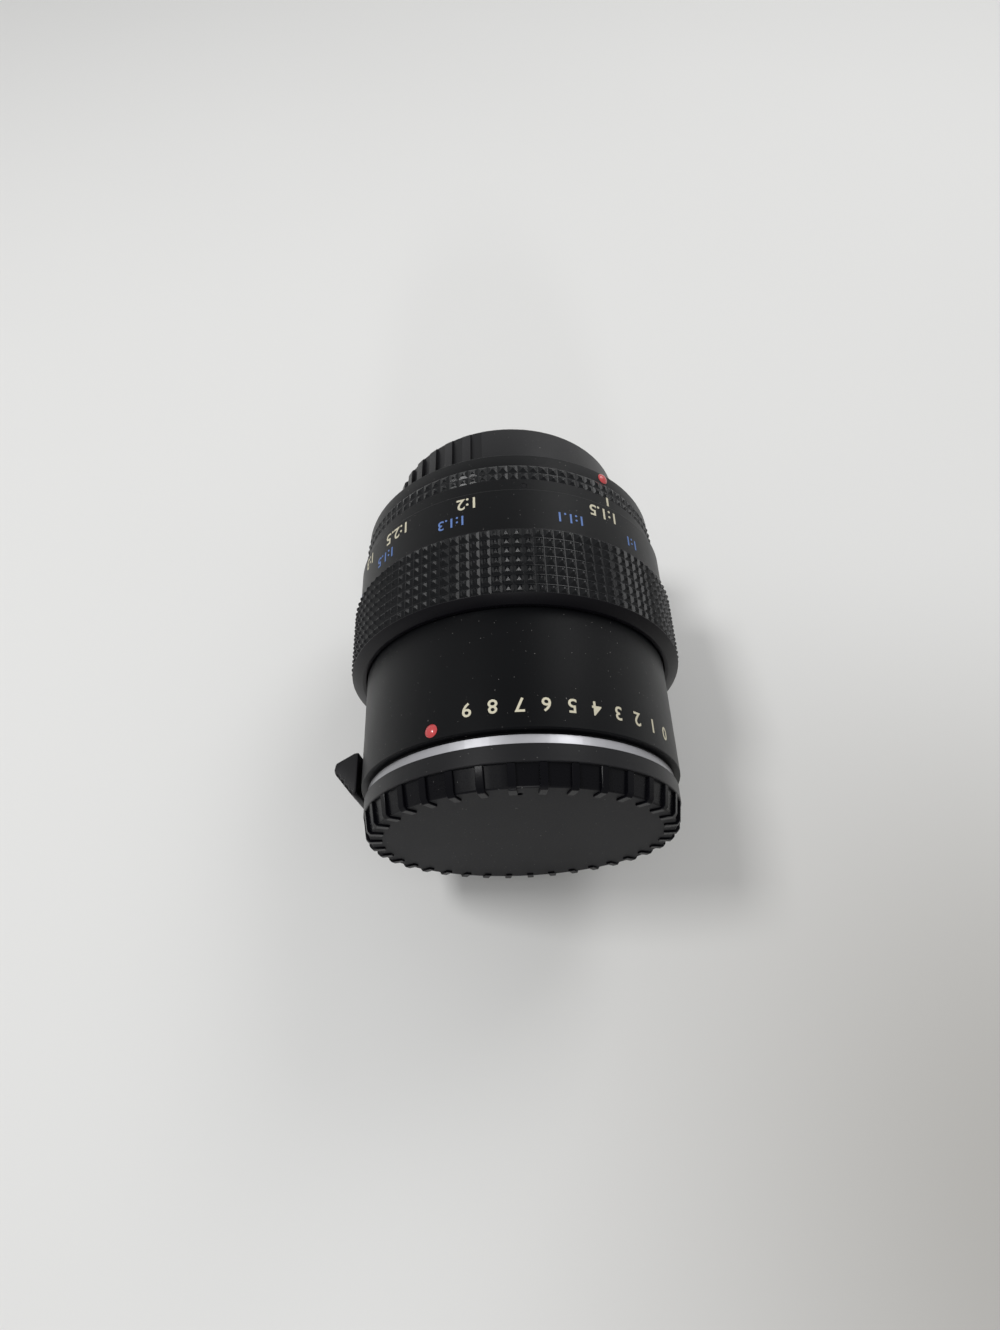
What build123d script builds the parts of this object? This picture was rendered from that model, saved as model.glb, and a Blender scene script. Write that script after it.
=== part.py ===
from build123d import *
import math
import os

os.makedirs("parts", exist_ok=True)

# A focusing teleconverter lies on its side. The optical axis is Y: the camera is
# towards +Y and the lens towards -Y. The origin is on the axis, at the camera flange.
# Angles round the axis are measured from +Z towards +X.

# Driving sizes, millimetres
bayonet_tube_radius = 21.6
flange_spacing = 46.5
rest_extension = 12.4
extra_extension = 0.5
collar_length = 9.9
scale_length = 9.4
knurl_length = 13.9
lip_length = 1.05

# Fits and clearances
running_gap = 0.05
loose_gap = 0.3
joint_gap = 0.15
seat_gap = 0.03
cut_overrun = 1.0

# Bayonets: both ends share the sizes of one lens mount
bayonet_tube_wall = 2.0
bayonet_tube_length = 5.2
lug_height = 1.3
lug_front = 2.6
lug_thickness = 1.8
lug_sweep = 55.0
lug_count = 3
lug_gap = 0.7
lock_turn = 65.0
throat_gap = 0.5
plate_face_width = 4.95
plate_thickness = 1.6
plate_step = 1.2
camera_index_angle = 37.3
lens_index_angle = -28.8
tube_inner = bayonet_tube_radius - bayonet_tube_wall
lug_radius = bayonet_tube_radius + lug_height
throat_radius = bayonet_tube_radius + throat_gap
lug_bore_radius = lug_radius + lug_gap
plate_radius = lug_bore_radius + plate_face_width

# Walls outwards from the bayonets: barrel, sleeve, collar, scale band and grip
barrel_wall = 1.15
band_height = 0.4
neck_wall = 0.5
collar_wall = 0.4
rear_band_drop = 0.3
scale_height = 0.8
grip_height = 1.0
grip_wall = 0.62
barrel_radius = plate_radius + plate_step
barrel_bore = barrel_radius - barrel_wall
band_radius = barrel_radius + band_height
sleeve_bore = band_radius + running_gap
neck_radius = sleeve_bore + neck_wall
neck_pocket = neck_radius + 2 * running_gap
collar_bore = band_radius + loose_gap
collar_radius = neck_pocket + collar_wall
rear_band_radius = collar_radius - rear_band_drop
scale_radius = collar_radius + scale_height
ring_radius = scale_radius + grip_height

# Knurling
knurl_depth = 0.75
collar_knurl_depth = 0.4
collar_knurl_rise = 0.1
knurl_columns = 72
knurl_rows = 7
collar_knurl_rows = 2
collar_knurl_length = 3.75
grip_bore = ring_radius - knurl_depth - grip_wall
grip_seat_radius = grip_bore - seat_gap

# Places along the axis
rear_wall_thickness = 2.4
groove_width = 0.6
wall_front = -(plate_thickness + rear_wall_thickness)
collar_front = -collar_length
sleeve_rear = collar_front - joint_gap
knurl_rear = sleeve_rear - scale_length
knurl_front = knurl_rear - knurl_length
lip_front = knurl_front - lip_length
flange_front = -(flange_spacing + rest_extension)
plate_back = flange_front + plate_thickness
barrel_front = plate_back + groove_width
barrel_rear = wall_front - loose_gap - rest_extension - seat_gap

# Screws
plate_screw_radius = 0.75
plate_screw_head = 1.4
plate_screw_head_depth = 0.7
plate_screw_length = 3.4
rear_screw_inset = 2.95
rear_screw_count = 4
rear_screw_start = 20.0
front_screw_inset = 2.15
front_screw_count = 5
front_screw_start = 5.0
slot_width = 0.4
slot_depth = 0.35
rear_screw_circle = plate_radius - rear_screw_inset
front_screw_circle = plate_radius - front_screw_inset

# Index beads
bead_radius = 1.15
bead_sink = 0.6
bead_rise = 0.45
front_bead_distance = 3.9
rear_bead_distance = 1.6
front_bead_y = flange_front + front_bead_distance
rear_bead_y = -rear_bead_distance


def across(y):
    """Plane across the axis at y, facing the lens, with its own X along X and Y along Z."""
    return Plane(origin=(0, y, 0), x_dir=(1, 0, 0), z_dir=(0, -1, 0))


def radial(angle, y):
    """Plane standing on the axis at y, facing outwards at this angle from +Z towards +X."""
    turn = math.radians(angle)
    outward = (math.sin(turn), 0, math.cos(turn))
    return Plane(origin=(0, y, 0), x_dir=(0, 1, 0), z_dir=outward)


def polar(radius, angle):
    """Point at this radius and angle, on a plane across the axis."""
    turn = math.radians(angle)
    return (radius * math.sin(turn), radius * math.cos(turn))


def turned(points, mode=Mode.ADD):
    """Revolve a closed outline of (radius, y) points round the optical axis."""
    with BuildSketch(Plane.XY) as outline:
        with BuildLine():
            Polyline(*points, close=True)
        make_face()
    revolve(outline.sketch, axis=Axis.Y, mode=mode)


def tube(inner, outer, front, rear, mode=Mode.ADD):
    """Plain ring between two radii and two places on the axis."""
    turned([(inner, front), (outer, front), (outer, rear), (inner, rear)], mode)


def sector(inner, outer, front, rear, middle, sweep, mode=Mode.ADD):
    """Part of a ring, centred on the middle angle."""
    steps = 6
    rim = [polar(outer, middle + sweep * (step / steps - 0.5)) for step in range(steps + 1)]
    halfway = steps // 2
    with BuildSketch(across(rear)) as outline:
        with BuildLine():
            ThreePointArc(rim[0], rim[halfway], rim[steps])
            Line(rim[steps], polar(inner, middle + sweep / 2))
            ThreePointArc(
                polar(inner, middle + sweep / 2), polar(inner, middle), polar(inner, middle - sweep / 2)
            )
            Line(polar(inner, middle - sweep / 2), rim[0])
        make_face()
    extrude(outline.sketch, amount=rear - front, mode=mode)


def rods(circle, radius, front, rear, angles, mode=Mode.ADD):
    """Round rods or holes along the axis, on a circle."""
    with BuildSketch(across(rear)) as outline:
        with Locations(*[polar(circle, angle) for angle in angles]):
            Circle(radius)
    extrude(outline.sketch, amount=rear - front, mode=mode)


def cones(circle, small, large, small_y, large_y, angles, mode=Mode.ADD):
    """Countersunk heads or seats along the axis, on a circle."""
    for angle in angles:
        across_x, across_z = polar(circle, angle)
        with BuildSketch(across(small_y)) as bottom:
            with Locations((across_x, across_z)):
                Circle(small)
        with BuildSketch(across(large_y)) as top:
            with Locations((across_x, across_z)):
                Circle(large)
        loft([bottom.sketch, top.sketch], mode=mode)


def shared_angles(start, count):
    """Angles of equal spacing round the axis."""
    return [start + step * 360 / count for step in range(count)]


def star(tips, tip_radius, depth):
    """Outline of a toothed ring: a tip and a root in turn."""
    outline = []
    for step in range(2 * tips):
        radius = tip_radius if step % 2 == 0 else tip_radius - depth
        outline.append(polar(radius, step * 180 / tips))
    return outline


def zigzag(rows, inner, tip_radius, depth, front, rear):
    """Outline of the rows along the axis: a root and a tip in turn."""
    pitch = (rear - front) / rows
    root = tip_radius - depth
    outline = [(inner, front), (root, front)]
    for row in range(rows):
        outline.append((tip_radius, front + (row + 0.5) * pitch))
        outline.append((root, front + (row + 1) * pitch))
    outline.append((inner, rear))
    return outline


def knurled(inner, tip_radius, depth, rows, front, rear):
    """Ring of four-sided points: an extruded star cut by turned zigzag grooves."""
    with BuildPart() as ring:
        with BuildSketch(across(rear)):
            Polygon(*star(knurl_columns, tip_radius, depth), align=None)
            Circle(inner, mode=Mode.SUBTRACT)
        extrude(amount=rear - front)
        turned(zigzag(rows, inner - cut_overrun, tip_radius, depth, front, rear), Mode.INTERSECT)
    return ring.part


def dome_height(radius, rise, place):
    """Height of a round dome above its edge, at this distance from its middle."""
    sphere = (radius**2 + rise**2) / (2 * rise)
    return math.copysign(math.sqrt(sphere**2 - place**2), rise) - (sphere - rise)


def bead(angle, y, surface):
    """Round index bead, set into a surface at this radius."""
    with BuildSketch(Plane.XY) as outline:
        with BuildLine():
            foot = surface - bead_sink
            Line((0, foot), (bead_radius, foot))
            Line((bead_radius, foot), (bead_radius, surface))
            ThreePointArc(
                (bead_radius, surface),
                (bead_radius / 2, surface + dome_height(bead_radius, bead_rise, bead_radius / 2)),
                (0, surface + bead_rise),
            )
            Line((0, surface + bead_rise), (0, foot))
        make_face()
    with BuildPart() as upright:
        revolve(outline.sketch, axis=Axis.Y)
    stand = radial(angle, y)
    place = Plane(origin=stand.origin, x_dir=stand.x_dir, z_dir=-stand.y_dir)
    return place.location * upright.part


def bead_socket(angle, y, surface):
    """Blind round hole that holds a bead."""
    with BuildSketch(radial(angle, y).offset(surface - bead_sink - seat_gap)) as outline:
        Circle(bead_radius + seat_gap)
    extrude(outline.sketch, amount=bead_sink + cut_overrun, mode=Mode.SUBTRACT)


# Stop-down ring in front of the rear wall, and the wall's slot for its pin
stop_pin_inset = 1.6
stop_pin_radius = 0.7
stop_pin_angle = 150.0
stop_travel = 14.0
slot_margin = 2.0
slot_half_width = 0.95
stop_ring_thickness = 1.5
stop_pin_circle = tube_inner - stop_pin_inset
stop_ring_rear = wall_front - loose_gap
stop_ring_front = stop_ring_rear - stop_ring_thickness

# Neck and step of the optics barrel, inside the stop-down ring
optics_neck_inset = 2.0
optics_step_height = 0.8
optics_neck_radius = stop_pin_circle - optics_neck_inset
optics_step_radius = optics_neck_radius + optics_step_height

# Guide tube
guide_gap = 0.4
guide_wall = 1.0
guide_flange_width = 3.6
guide_flange_thickness = 1.0
guide_end_length = 5.17
guide_key_width = 4.0
guide_key_length = 3.6
guide_key_inset = 0.7
guide_key_gap = 0.2
guide_key_count = 3
guide_key_start = 60.0
guide_screw_inset = 2.2
guide_screw_count = 4
guide_screw_start = 15.0
guide_screw_radius = 0.6
guide_screw_head = 1.1
guide_screw_head_height = 0.7
guide_screw_sink = 1.5
guide_outer = barrel_bore - guide_gap
guide_bore = guide_outer - guide_wall
guide_flange_inner = guide_outer - guide_flange_width
guide_flange_front = wall_front - guide_flange_thickness
guide_screw_circle = guide_outer - guide_screw_inset
guide_key_rear = barrel_rear - guide_key_inset
guide_slot_front = guide_key_rear - guide_key_length - extra_extension - loose_gap
guide_slot_rear = guide_key_rear + rest_extension + seat_gap + joint_gap
guide_front = guide_slot_front - guide_end_length

# Neck of the focusing ring and its pocket in the collar
neck_length = 2.7
band_length = 6.5
retainer_distance = 1.45
retainer_radius = 0.5
retainer_gap = 0.06
retainer_groove_depth = 0.2
retainer_groove_half_width = 0.65
retainer_count = 3
retainer_start = 5.2
rear_band_length = 3.1
rear_chamfer = 0.5
retainer_y = collar_front + retainer_distance
retainer_groove_radius = neck_radius - retainer_groove_depth
retainer_tip = retainer_groove_radius + retainer_gap

rear_screw_angles = shared_angles(rear_screw_start, rear_screw_count)
front_screw_angles = shared_angles(front_screw_start, front_screw_count)
guide_screw_angles = shared_angles(guide_screw_start, guide_screw_count)
guide_key_angles = shared_angles(guide_key_start, guide_key_count)
retainer_angles = shared_angles(retainer_start, retainer_count)
small_knurl_rear = -rear_band_length
small_knurl_front = small_knurl_rear - collar_knurl_length

# Rear collar: outer shell, knurled band, rear wall and pocket for the bayonet plate
with BuildPart() as rear_collar:
    knurl_root = collar_radius + collar_knurl_rise - collar_knurl_depth
    turned(
        [
            (neck_pocket, collar_front),
            (collar_radius, collar_front),
            (collar_radius, small_knurl_front),
            (knurl_root, small_knurl_front),
            (knurl_root, small_knurl_rear),
            (rear_band_radius, small_knurl_rear),
            (rear_band_radius, -rear_chamfer),
            (rear_band_radius - rear_chamfer, 0),
            (plate_radius + seat_gap, 0),
            (plate_radius + seat_gap, -plate_thickness),
            (optics_neck_radius + seat_gap, -plate_thickness),
            (optics_neck_radius + seat_gap, wall_front),
            (collar_bore, wall_front),
            (collar_bore, collar_front + neck_length + joint_gap),
            (neck_pocket, collar_front + neck_length + joint_gap),
        ]
    )
    add(
        knurled(
            collar_bore,
            collar_radius + collar_knurl_rise,
            collar_knurl_depth,
            collar_knurl_rows,
            small_knurl_front,
            small_knurl_rear,
        )
    )
    rods(
        rear_screw_circle,
        plate_screw_radius + seat_gap,
        -plate_screw_length - seat_gap,
        0,
        rear_screw_angles,
        Mode.SUBTRACT,
    )
    rods(
        guide_screw_circle,
        guide_screw_radius + seat_gap,
        wall_front,
        wall_front + guide_screw_sink + seat_gap,
        guide_screw_angles,
        Mode.SUBTRACT,
    )
    sector(
        stop_pin_circle - slot_half_width,
        stop_pin_circle + slot_half_width,
        wall_front - cut_overrun,
        cut_overrun,
        stop_pin_angle - stop_travel / 2,
        stop_travel + 2 * math.degrees(slot_half_width / stop_pin_circle) + slot_margin,
        Mode.SUBTRACT,
    )
    for angle in retainer_angles:
        with BuildSketch(radial(angle, retainer_y).offset(barrel_radius)) as hole:
            Circle(retainer_radius + seat_gap)
        extrude(hole.sketch, amount=collar_radius, mode=Mode.SUBTRACT)
    bead_socket(camera_index_angle, rear_bead_y, rear_band_radius)
rear_collar.part.label = "rear_collar"
export_step(rear_collar.part, "parts/rear_collar.step")

# Grub screws that hold the focusing ring by a groove in its neck
with BuildPart() as collar_set_screws:
    for angle in retainer_angles:
        with BuildSketch(radial(angle, retainer_y).offset(retainer_tip)) as shank:
            Circle(retainer_radius)
        extrude(shank.sketch, amount=collar_radius - retainer_tip - seat_gap)
collar_set_screws.part.label = "collar_set_screws"
export_step(collar_set_screws.part, "parts/collar_set_screws.step")

# Red bead that lines up with the camera's mark
rear_index_bead = bead(camera_index_angle, rear_bead_y, rear_band_radius)
rear_index_bead.label = "rear_index_bead"
export_step(rear_index_bead, "parts/rear_index_bead.step")

# Male bayonet plate for the camera
lock_notch_angle = camera_index_angle + 180 - lock_turn
lock_notch_half_width = 1.1
lock_notch_half_length = 1.2
lock_notch_depth = 1.2
lug_angles = shared_angles(camera_index_angle, lug_count)
with BuildPart() as rear_mount_plate:
    tube(tube_inner, plate_radius, -plate_thickness, 0)
    tube(tube_inner, bayonet_tube_radius, -plate_thickness, bayonet_tube_length)
    for angle in lug_angles:
        sector(
            bayonet_tube_radius - cut_overrun,
            lug_radius,
            lug_front,
            lug_front + lug_thickness,
            angle,
            lug_sweep,
        )
    rods(
        rear_screw_circle,
        plate_screw_radius + seat_gap,
        -plate_thickness,
        0,
        rear_screw_angles,
        Mode.SUBTRACT,
    )
    cones(
        rear_screw_circle,
        plate_screw_radius + seat_gap,
        plate_screw_head + seat_gap,
        -plate_screw_head_depth,
        0,
        rear_screw_angles,
        Mode.SUBTRACT,
    )
    sector(
        rear_screw_circle - lock_notch_half_length,
        rear_screw_circle + lock_notch_half_length,
        -lock_notch_depth,
        cut_overrun,
        lock_notch_angle,
        2 * math.degrees(lock_notch_half_width / rear_screw_circle),
        Mode.SUBTRACT,
    )
rear_mount_plate.part.label = "rear_mount_plate"
export_step(rear_mount_plate.part, "parts/rear_mount_plate.step")


def countersunk_screws(circle, face, direction, angles):
    """Countersunk screws whose heads are flush with a face; direction is +1 where the heads face +Y."""
    head_bottom = face - direction * plate_screw_head_depth
    shank_end = face - direction * plate_screw_length
    with BuildPart() as screws:
        rods(circle, plate_screw_radius, min(shank_end, head_bottom), max(shank_end, head_bottom), angles)
        cones(circle, plate_screw_radius, plate_screw_head, head_bottom, face, angles)
        with BuildSketch(across(face)) as slots:
            for angle in angles:
                with Locations(Location((*polar(circle, angle), 0), -angle)):
                    Rectangle(slot_width, 2 * plate_screw_head + cut_overrun)
        extrude(slots.sketch, amount=direction * slot_depth, mode=Mode.SUBTRACT)
    return screws.part


rear_mount_screws = countersunk_screws(rear_screw_circle, 0, 1, rear_screw_angles)
rear_mount_screws.label = "rear_mount_screws"
export_step(rear_mount_screws, "parts/rear_mount_screws.step")

# Fixed guide tube: its straight slots keep the front barrel from turning
with BuildPart() as guide_tube:
    tube(guide_bore, guide_outer, guide_front, wall_front)
    tube(guide_flange_inner, guide_outer, guide_flange_front, wall_front)
    for angle in guide_key_angles:
        slot_middle = (guide_slot_front + guide_slot_rear) / 2
        with BuildSketch(radial(angle, slot_middle).offset(guide_bore - 2 * cut_overrun)) as slot:
            Rectangle(guide_slot_rear - guide_slot_front, guide_key_width + 2 * running_gap)
        extrude(slot.sketch, amount=guide_outer, mode=Mode.SUBTRACT)
    rods(
        guide_screw_circle,
        guide_screw_radius + seat_gap,
        guide_flange_front,
        wall_front,
        guide_screw_angles,
        Mode.SUBTRACT,
    )
guide_tube.part.label = "guide_tube"
export_step(guide_tube.part, "parts/guide_tube.step")

with BuildPart() as guide_screws:
    head_face = guide_flange_front - guide_screw_head_height - seat_gap
    rods(guide_screw_circle, guide_screw_head, head_face, guide_flange_front - seat_gap, guide_screw_angles)
    rods(
        guide_screw_circle,
        guide_screw_radius,
        guide_flange_front - guide_screw_head_height,
        wall_front + guide_screw_sink,
        guide_screw_angles,
    )
    with BuildSketch(across(head_face)) as driver_slots:
        for angle in guide_screw_angles:
            with Locations(Location((*polar(guide_screw_circle, angle), 0), -angle)):
                Rectangle(slot_width, 2 * guide_screw_head + cut_overrun)
    extrude(driver_slots.sketch, amount=-slot_depth, mode=Mode.SUBTRACT)
guide_screws.part.label = "guide_screws"
export_step(guide_screws.part, "parts/guide_screws.step")

# Optics, fixed to the rear wall
optics_wall = 2.4
optics_neck_wall = 0.5
optics_length = 29.5
optics_rear = 2.6
optics_step_gap = 0.4
front_seat_depth = 3.1
inner_seat_depth = 10.5
inner_element_thickness = 7.5
rear_seat_height = 2.0
rear_glass_inset = 2.4
lens_shoulder_width = 1.6
spacer_width = 2.5
thread_ring_width = 1.5
lens_ring_width = 1.0
rear_edge_thickness = 3.0
front_edge_thickness = 3.4
front_bulges = (-1.8, 1.3)
inner_bulges = (-1.6, -1.4)
rear_bulges = (0.7, -1.6)
lens_ring_relief = 0.2
optics_radius = optics_neck_radius + optics_wall
optics_bore = optics_neck_radius - optics_neck_wall
optics_front = wall_front - optics_length
optics_step_front = stop_ring_front - optics_step_gap
front_seat = optics_front + front_seat_depth
inner_seat_rear = wall_front - inner_seat_depth
inner_seat_front = inner_seat_rear - inner_element_thickness
rear_seat = wall_front + rear_seat_height
rear_glass_radius = optics_neck_radius - rear_glass_inset
rear_bore = rear_glass_radius + seat_gap
lens_shoulder_radius = rear_glass_radius - lens_shoulder_width
spacer_bore = optics_bore - spacer_width
with BuildPart() as optics_barrel:
    turned(
        [
            (optics_bore, optics_front),
            (optics_radius, optics_front),
            (optics_radius, optics_step_front),
            (optics_step_radius, optics_step_front),
            (optics_step_radius, wall_front),
            (optics_neck_radius, wall_front),
            (optics_neck_radius, optics_rear),
            (rear_bore, optics_rear),
            (rear_bore, rear_seat),
            (lens_shoulder_radius, rear_seat),
            (lens_shoulder_radius, inner_seat_rear),
            (optics_bore, inner_seat_rear),
        ]
    )
optics_barrel.part.label = "optics_barrel"
export_step(optics_barrel.part, "parts/optics_barrel.step")

# Nut ring that clamps the optics barrel to the rear wall
with BuildPart() as optics_nut:
    nut_outer = stop_pin_circle - slot_half_width - joint_gap
    tube(optics_neck_radius + seat_gap, nut_outer, -plate_thickness, -plate_thickness + thread_ring_width)
optics_nut.part.label = "optics_nut"
export_step(optics_nut.part, "parts/optics_nut.step")


def lens_outline(radius, rear_edge, front_edge, rear_bulge, front_bulge):
    """Half section of a lens; a positive bulge stands out, a negative one is hollow."""
    front_mid = front_edge - dome_height(radius, front_bulge, radius / 2)
    rear_mid = rear_edge + dome_height(radius, rear_bulge, radius / 2)
    with BuildSketch(Plane.XY) as outline:
        with BuildLine():
            ThreePointArc((0, front_edge - front_bulge), (radius / 2, front_mid), (radius, front_edge))
            Line((radius, front_edge), (radius, rear_edge))
            ThreePointArc((radius, rear_edge), (radius / 2, rear_mid), (0, rear_edge + rear_bulge))
            Line((0, rear_edge + rear_bulge), (0, front_edge - front_bulge))
        make_face()
    return outline.sketch


glass_radius = optics_bore - seat_gap
with BuildPart() as front_element:
    front_section = lens_outline(glass_radius, front_seat + front_edge_thickness, front_seat, *front_bulges)
    revolve(front_section, axis=Axis.Y)
front_element.part.label = "front_element"
export_step(front_element.part, "parts/front_element.step")

with BuildPart() as inner_element:
    inner_section = lens_outline(glass_radius, inner_seat_rear, inner_seat_front, *inner_bulges)
    revolve(inner_section, axis=Axis.Y)
inner_element.part.label = "inner_element"
export_step(inner_element.part, "parts/inner_element.step")

with BuildPart() as rear_element:
    rear_section = lens_outline(rear_glass_radius, rear_seat + rear_edge_thickness, rear_seat, *rear_bulges)
    revolve(rear_section, axis=Axis.Y)
rear_element.part.label = "rear_element"
export_step(rear_element.part, "parts/rear_element.step")

with BuildPart() as element_spacer:
    spacer_front = front_seat + front_edge_thickness + seat_gap
    tube(spacer_bore, glass_radius, spacer_front, inner_seat_front - seat_gap)
element_spacer.part.label = "element_spacer"
export_step(element_spacer.part, "parts/element_spacer.step")

with BuildPart() as front_lens_ring:
    turned(
        [
            (glass_radius - lens_ring_width, front_seat - seat_gap - lens_ring_relief),
            (glass_radius, front_seat - seat_gap),
            (glass_radius, optics_front),
            (glass_radius - lens_ring_width / 2, optics_front),
        ]
    )
front_lens_ring.part.label = "front_lens_ring"
export_step(front_lens_ring.part, "parts/front_lens_ring.step")

# Light mask on the rear of the optics, with its picture-shaped window
picture_sides = (3, 2)
mask_corner = 1.5
mask_thickness = 1.0
mask_bore = rear_glass_radius - lens_ring_width
mask_unit = 2 * mask_bore / math.hypot(*picture_sides)
with BuildPart() as rear_mask:
    spigot_front = rear_seat + rear_edge_thickness + seat_gap + lens_ring_relief
    tube(mask_bore, rear_glass_radius, spigot_front, optics_rear)
    with BuildSketch(across(optics_rear + mask_thickness)):
        Circle(optics_neck_radius)
        RectangleRounded(*[side * mask_unit for side in picture_sides], mask_corner, mode=Mode.SUBTRACT)
    extrude(amount=mask_thickness)
rear_mask.part.label = "rear_mask"
export_step(rear_mask.part, "parts/rear_mask.step")

# Focusing ring: sleeve with the scale band and the neck
scale_chamfer = 0.25
with BuildPart() as focus_sleeve:
    turned(
        [
            (sleeve_bore, knurl_front),
            (grip_seat_radius, knurl_front),
            (grip_seat_radius, knurl_rear),
            (scale_radius, knurl_rear),
            (scale_radius, sleeve_rear - scale_chamfer),
            (scale_radius - scale_chamfer, sleeve_rear),
            (neck_radius, sleeve_rear),
            (neck_radius, retainer_y - retainer_groove_half_width),
            (retainer_groove_radius, retainer_y - retainer_groove_half_width),
            (retainer_groove_radius, retainer_y + retainer_groove_half_width),
            (neck_radius, retainer_y + retainer_groove_half_width),
            (neck_radius, collar_front + neck_length),
            (sleeve_bore, collar_front + neck_length),
        ]
    )
focus_sleeve.part.label = "focus_sleeve"
export_step(focus_sleeve.part, "parts/focus_sleeve.step")

# Knurled grip of the focusing ring: rows of four-sided points
focus_grip = knurled(grip_bore, ring_radius, knurl_depth, knurl_rows, knurl_front, knurl_rear)
focus_grip.label = "focus_grip"
export_step(focus_grip, "parts/focus_grip.step")

# Lip ring that closes the front of the focusing ring
lip_inner_length = 0.4
lip_face_width = 0.7
lip_drop = 0.2
lip_bore = barrel_radius + loose_gap - running_gap
lip_face_radius = lip_bore + lip_face_width
lip_outer_radius = ring_radius - lip_drop
with BuildPart() as lip_ring:
    turned(
        [
            (lip_bore, lip_front),
            (lip_face_radius, lip_front),
            (lip_outer_radius, knurl_front),
            (sleeve_bore, knurl_front),
            (sleeve_bore, lip_front + lip_inner_length),
            (lip_bore, lip_front + lip_inner_length),
        ]
    )
lip_ring.part.label = "lip_ring"
export_step(lip_ring.part, "parts/lip_ring.step")

# Front barrel and what it carries
front_wall_thickness = 3.7
stop_pocket_length = 1.8
stop_pocket_width = 1.0
seat_neck_drop = 0.45
barrel_chamfer = 0.3
release_angle = -95.0
lock_pin_inset = 1.85
lock_pin_radius = 1.0
lock_pin_rise = 0.9
lock_pin_gap = 0.08
lock_collar_radius = 1.6
lock_collar_distance = 0.4
lock_collar_length = 0.9
lock_pocket_gap = 0.25
release_travel = 1.3
stem_width = 5.0
stem_gap = 0.2
stem_length = 1.7
baffle_thickness = 1.0
slider_height = 2.6
slider_width = 7.0
stop_pocket_front = plate_back + front_wall_thickness
front_wall_back = stop_pocket_front + stop_pocket_length
baffle_back = front_wall_back + baffle_thickness
stop_pocket_radius = lug_bore_radius + stop_pocket_width
wall_bore = lug_bore_radius + loose_gap
seat_neck_radius = plate_radius - seat_neck_drop
lock_pin_circle = plate_radius - lock_pin_inset
lock_collar_front = plate_back + lock_collar_distance
lock_pocket_radius = lock_collar_radius + lock_pocket_gap
stem_front = baffle_back + stem_gap
slider_outer = barrel_bore - loose_gap
with BuildPart() as front_tube:
    turned(
        [
            (wall_bore, plate_back),
            (seat_neck_radius, plate_back),
            (seat_neck_radius, barrel_front),
            (barrel_radius - barrel_chamfer, barrel_front),
            (barrel_radius, barrel_front + barrel_chamfer),
            (barrel_radius, barrel_rear - band_length),
            (band_radius, barrel_rear - band_length),
            (band_radius, barrel_rear),
            (barrel_bore, barrel_rear),
            (barrel_bore, front_wall_back),
            (stop_pocket_radius, front_wall_back),
            (stop_pocket_radius, stop_pocket_front),
            (wall_bore, stop_pocket_front),
        ]
    )
    rods(
        front_screw_circle,
        plate_screw_radius + seat_gap,
        plate_back,
        flange_front + plate_screw_length + seat_gap,
        front_screw_angles,
        Mode.SUBTRACT,
    )
    rods(lock_pin_circle, lock_pocket_radius, plate_back, front_wall_back, [release_angle], Mode.SUBTRACT)
    window_front = stem_front - joint_gap
    window_rear = stem_front + stem_length + release_travel + joint_gap
    window_middle = (window_front + window_rear) / 2
    with BuildSketch(radial(release_angle, window_middle).offset(lock_pin_circle)) as window:
        Rectangle(window_rear - window_front, stem_width + 2 * joint_gap)
    extrude(window.sketch, amount=barrel_radius, mode=Mode.SUBTRACT)
    bead_socket(lens_index_angle, front_bead_y, barrel_radius)
front_tube.part.label = "front_tube"
export_step(front_tube.part, "parts/front_tube.step")

front_index_bead = bead(lens_index_angle, front_bead_y, barrel_radius)
front_index_bead.label = "front_index_bead"
export_step(front_index_bead, "parts/front_index_bead.step")

# Female bayonet plate for the lens: three lugs stand into its bore
plate_lug_angles = shared_angles(lens_index_angle + lock_turn, lug_count)
plate_lug_sweep = 52.0
plate_lug_thickness = 1.2
with BuildPart() as bayonet_plate:
    tube(lug_bore_radius, plate_radius, flange_front, plate_back)
    for angle in plate_lug_angles:
        sector(
            throat_radius,
            lug_bore_radius + seat_gap,
            flange_front,
            flange_front + plate_lug_thickness,
            angle,
            plate_lug_sweep,
        )
    rods(
        front_screw_circle,
        plate_screw_radius + seat_gap,
        flange_front,
        plate_back,
        front_screw_angles,
        Mode.SUBTRACT,
    )
    cones(
        front_screw_circle,
        plate_screw_radius + seat_gap,
        plate_screw_head + seat_gap,
        flange_front + plate_screw_head_depth,
        flange_front,
        front_screw_angles,
        Mode.SUBTRACT,
    )
    rods(
        lock_pin_circle,
        lock_pin_radius + lock_pin_gap,
        flange_front,
        plate_back,
        [release_angle],
        Mode.SUBTRACT,
    )
bayonet_plate.part.label = "bayonet_plate"
export_step(bayonet_plate.part, "parts/bayonet_plate.step")

bayonet_screws = countersunk_screws(front_screw_circle, flange_front, -1, front_screw_angles)
bayonet_screws.label = "bayonet_screws"
export_step(bayonet_screws, "parts/bayonet_screws.step")

# Leaf springs that pull a lens onto the plate, one behind each lug
spring_thickness = 0.3
spring_sweep = 44.0
spring_tab_sweep = 12.0
with BuildPart() as bayonet_springs:
    spring_back = flange_front + plate_lug_thickness + seat_gap + spring_thickness
    for angle in plate_lug_angles:
        sector(
            throat_radius + joint_gap,
            lug_bore_radius - joint_gap,
            spring_back - spring_thickness,
            spring_back,
            angle,
            spring_sweep,
        )
        sector(
            throat_radius + joint_gap,
            lug_bore_radius - joint_gap,
            spring_back,
            spring_back + 2 * spring_thickness,
            angle,
            spring_tab_sweep,
        )
bayonet_springs.part.label = "bayonet_springs"
export_step(bayonet_springs.part, "parts/bayonet_springs.step")

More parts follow.
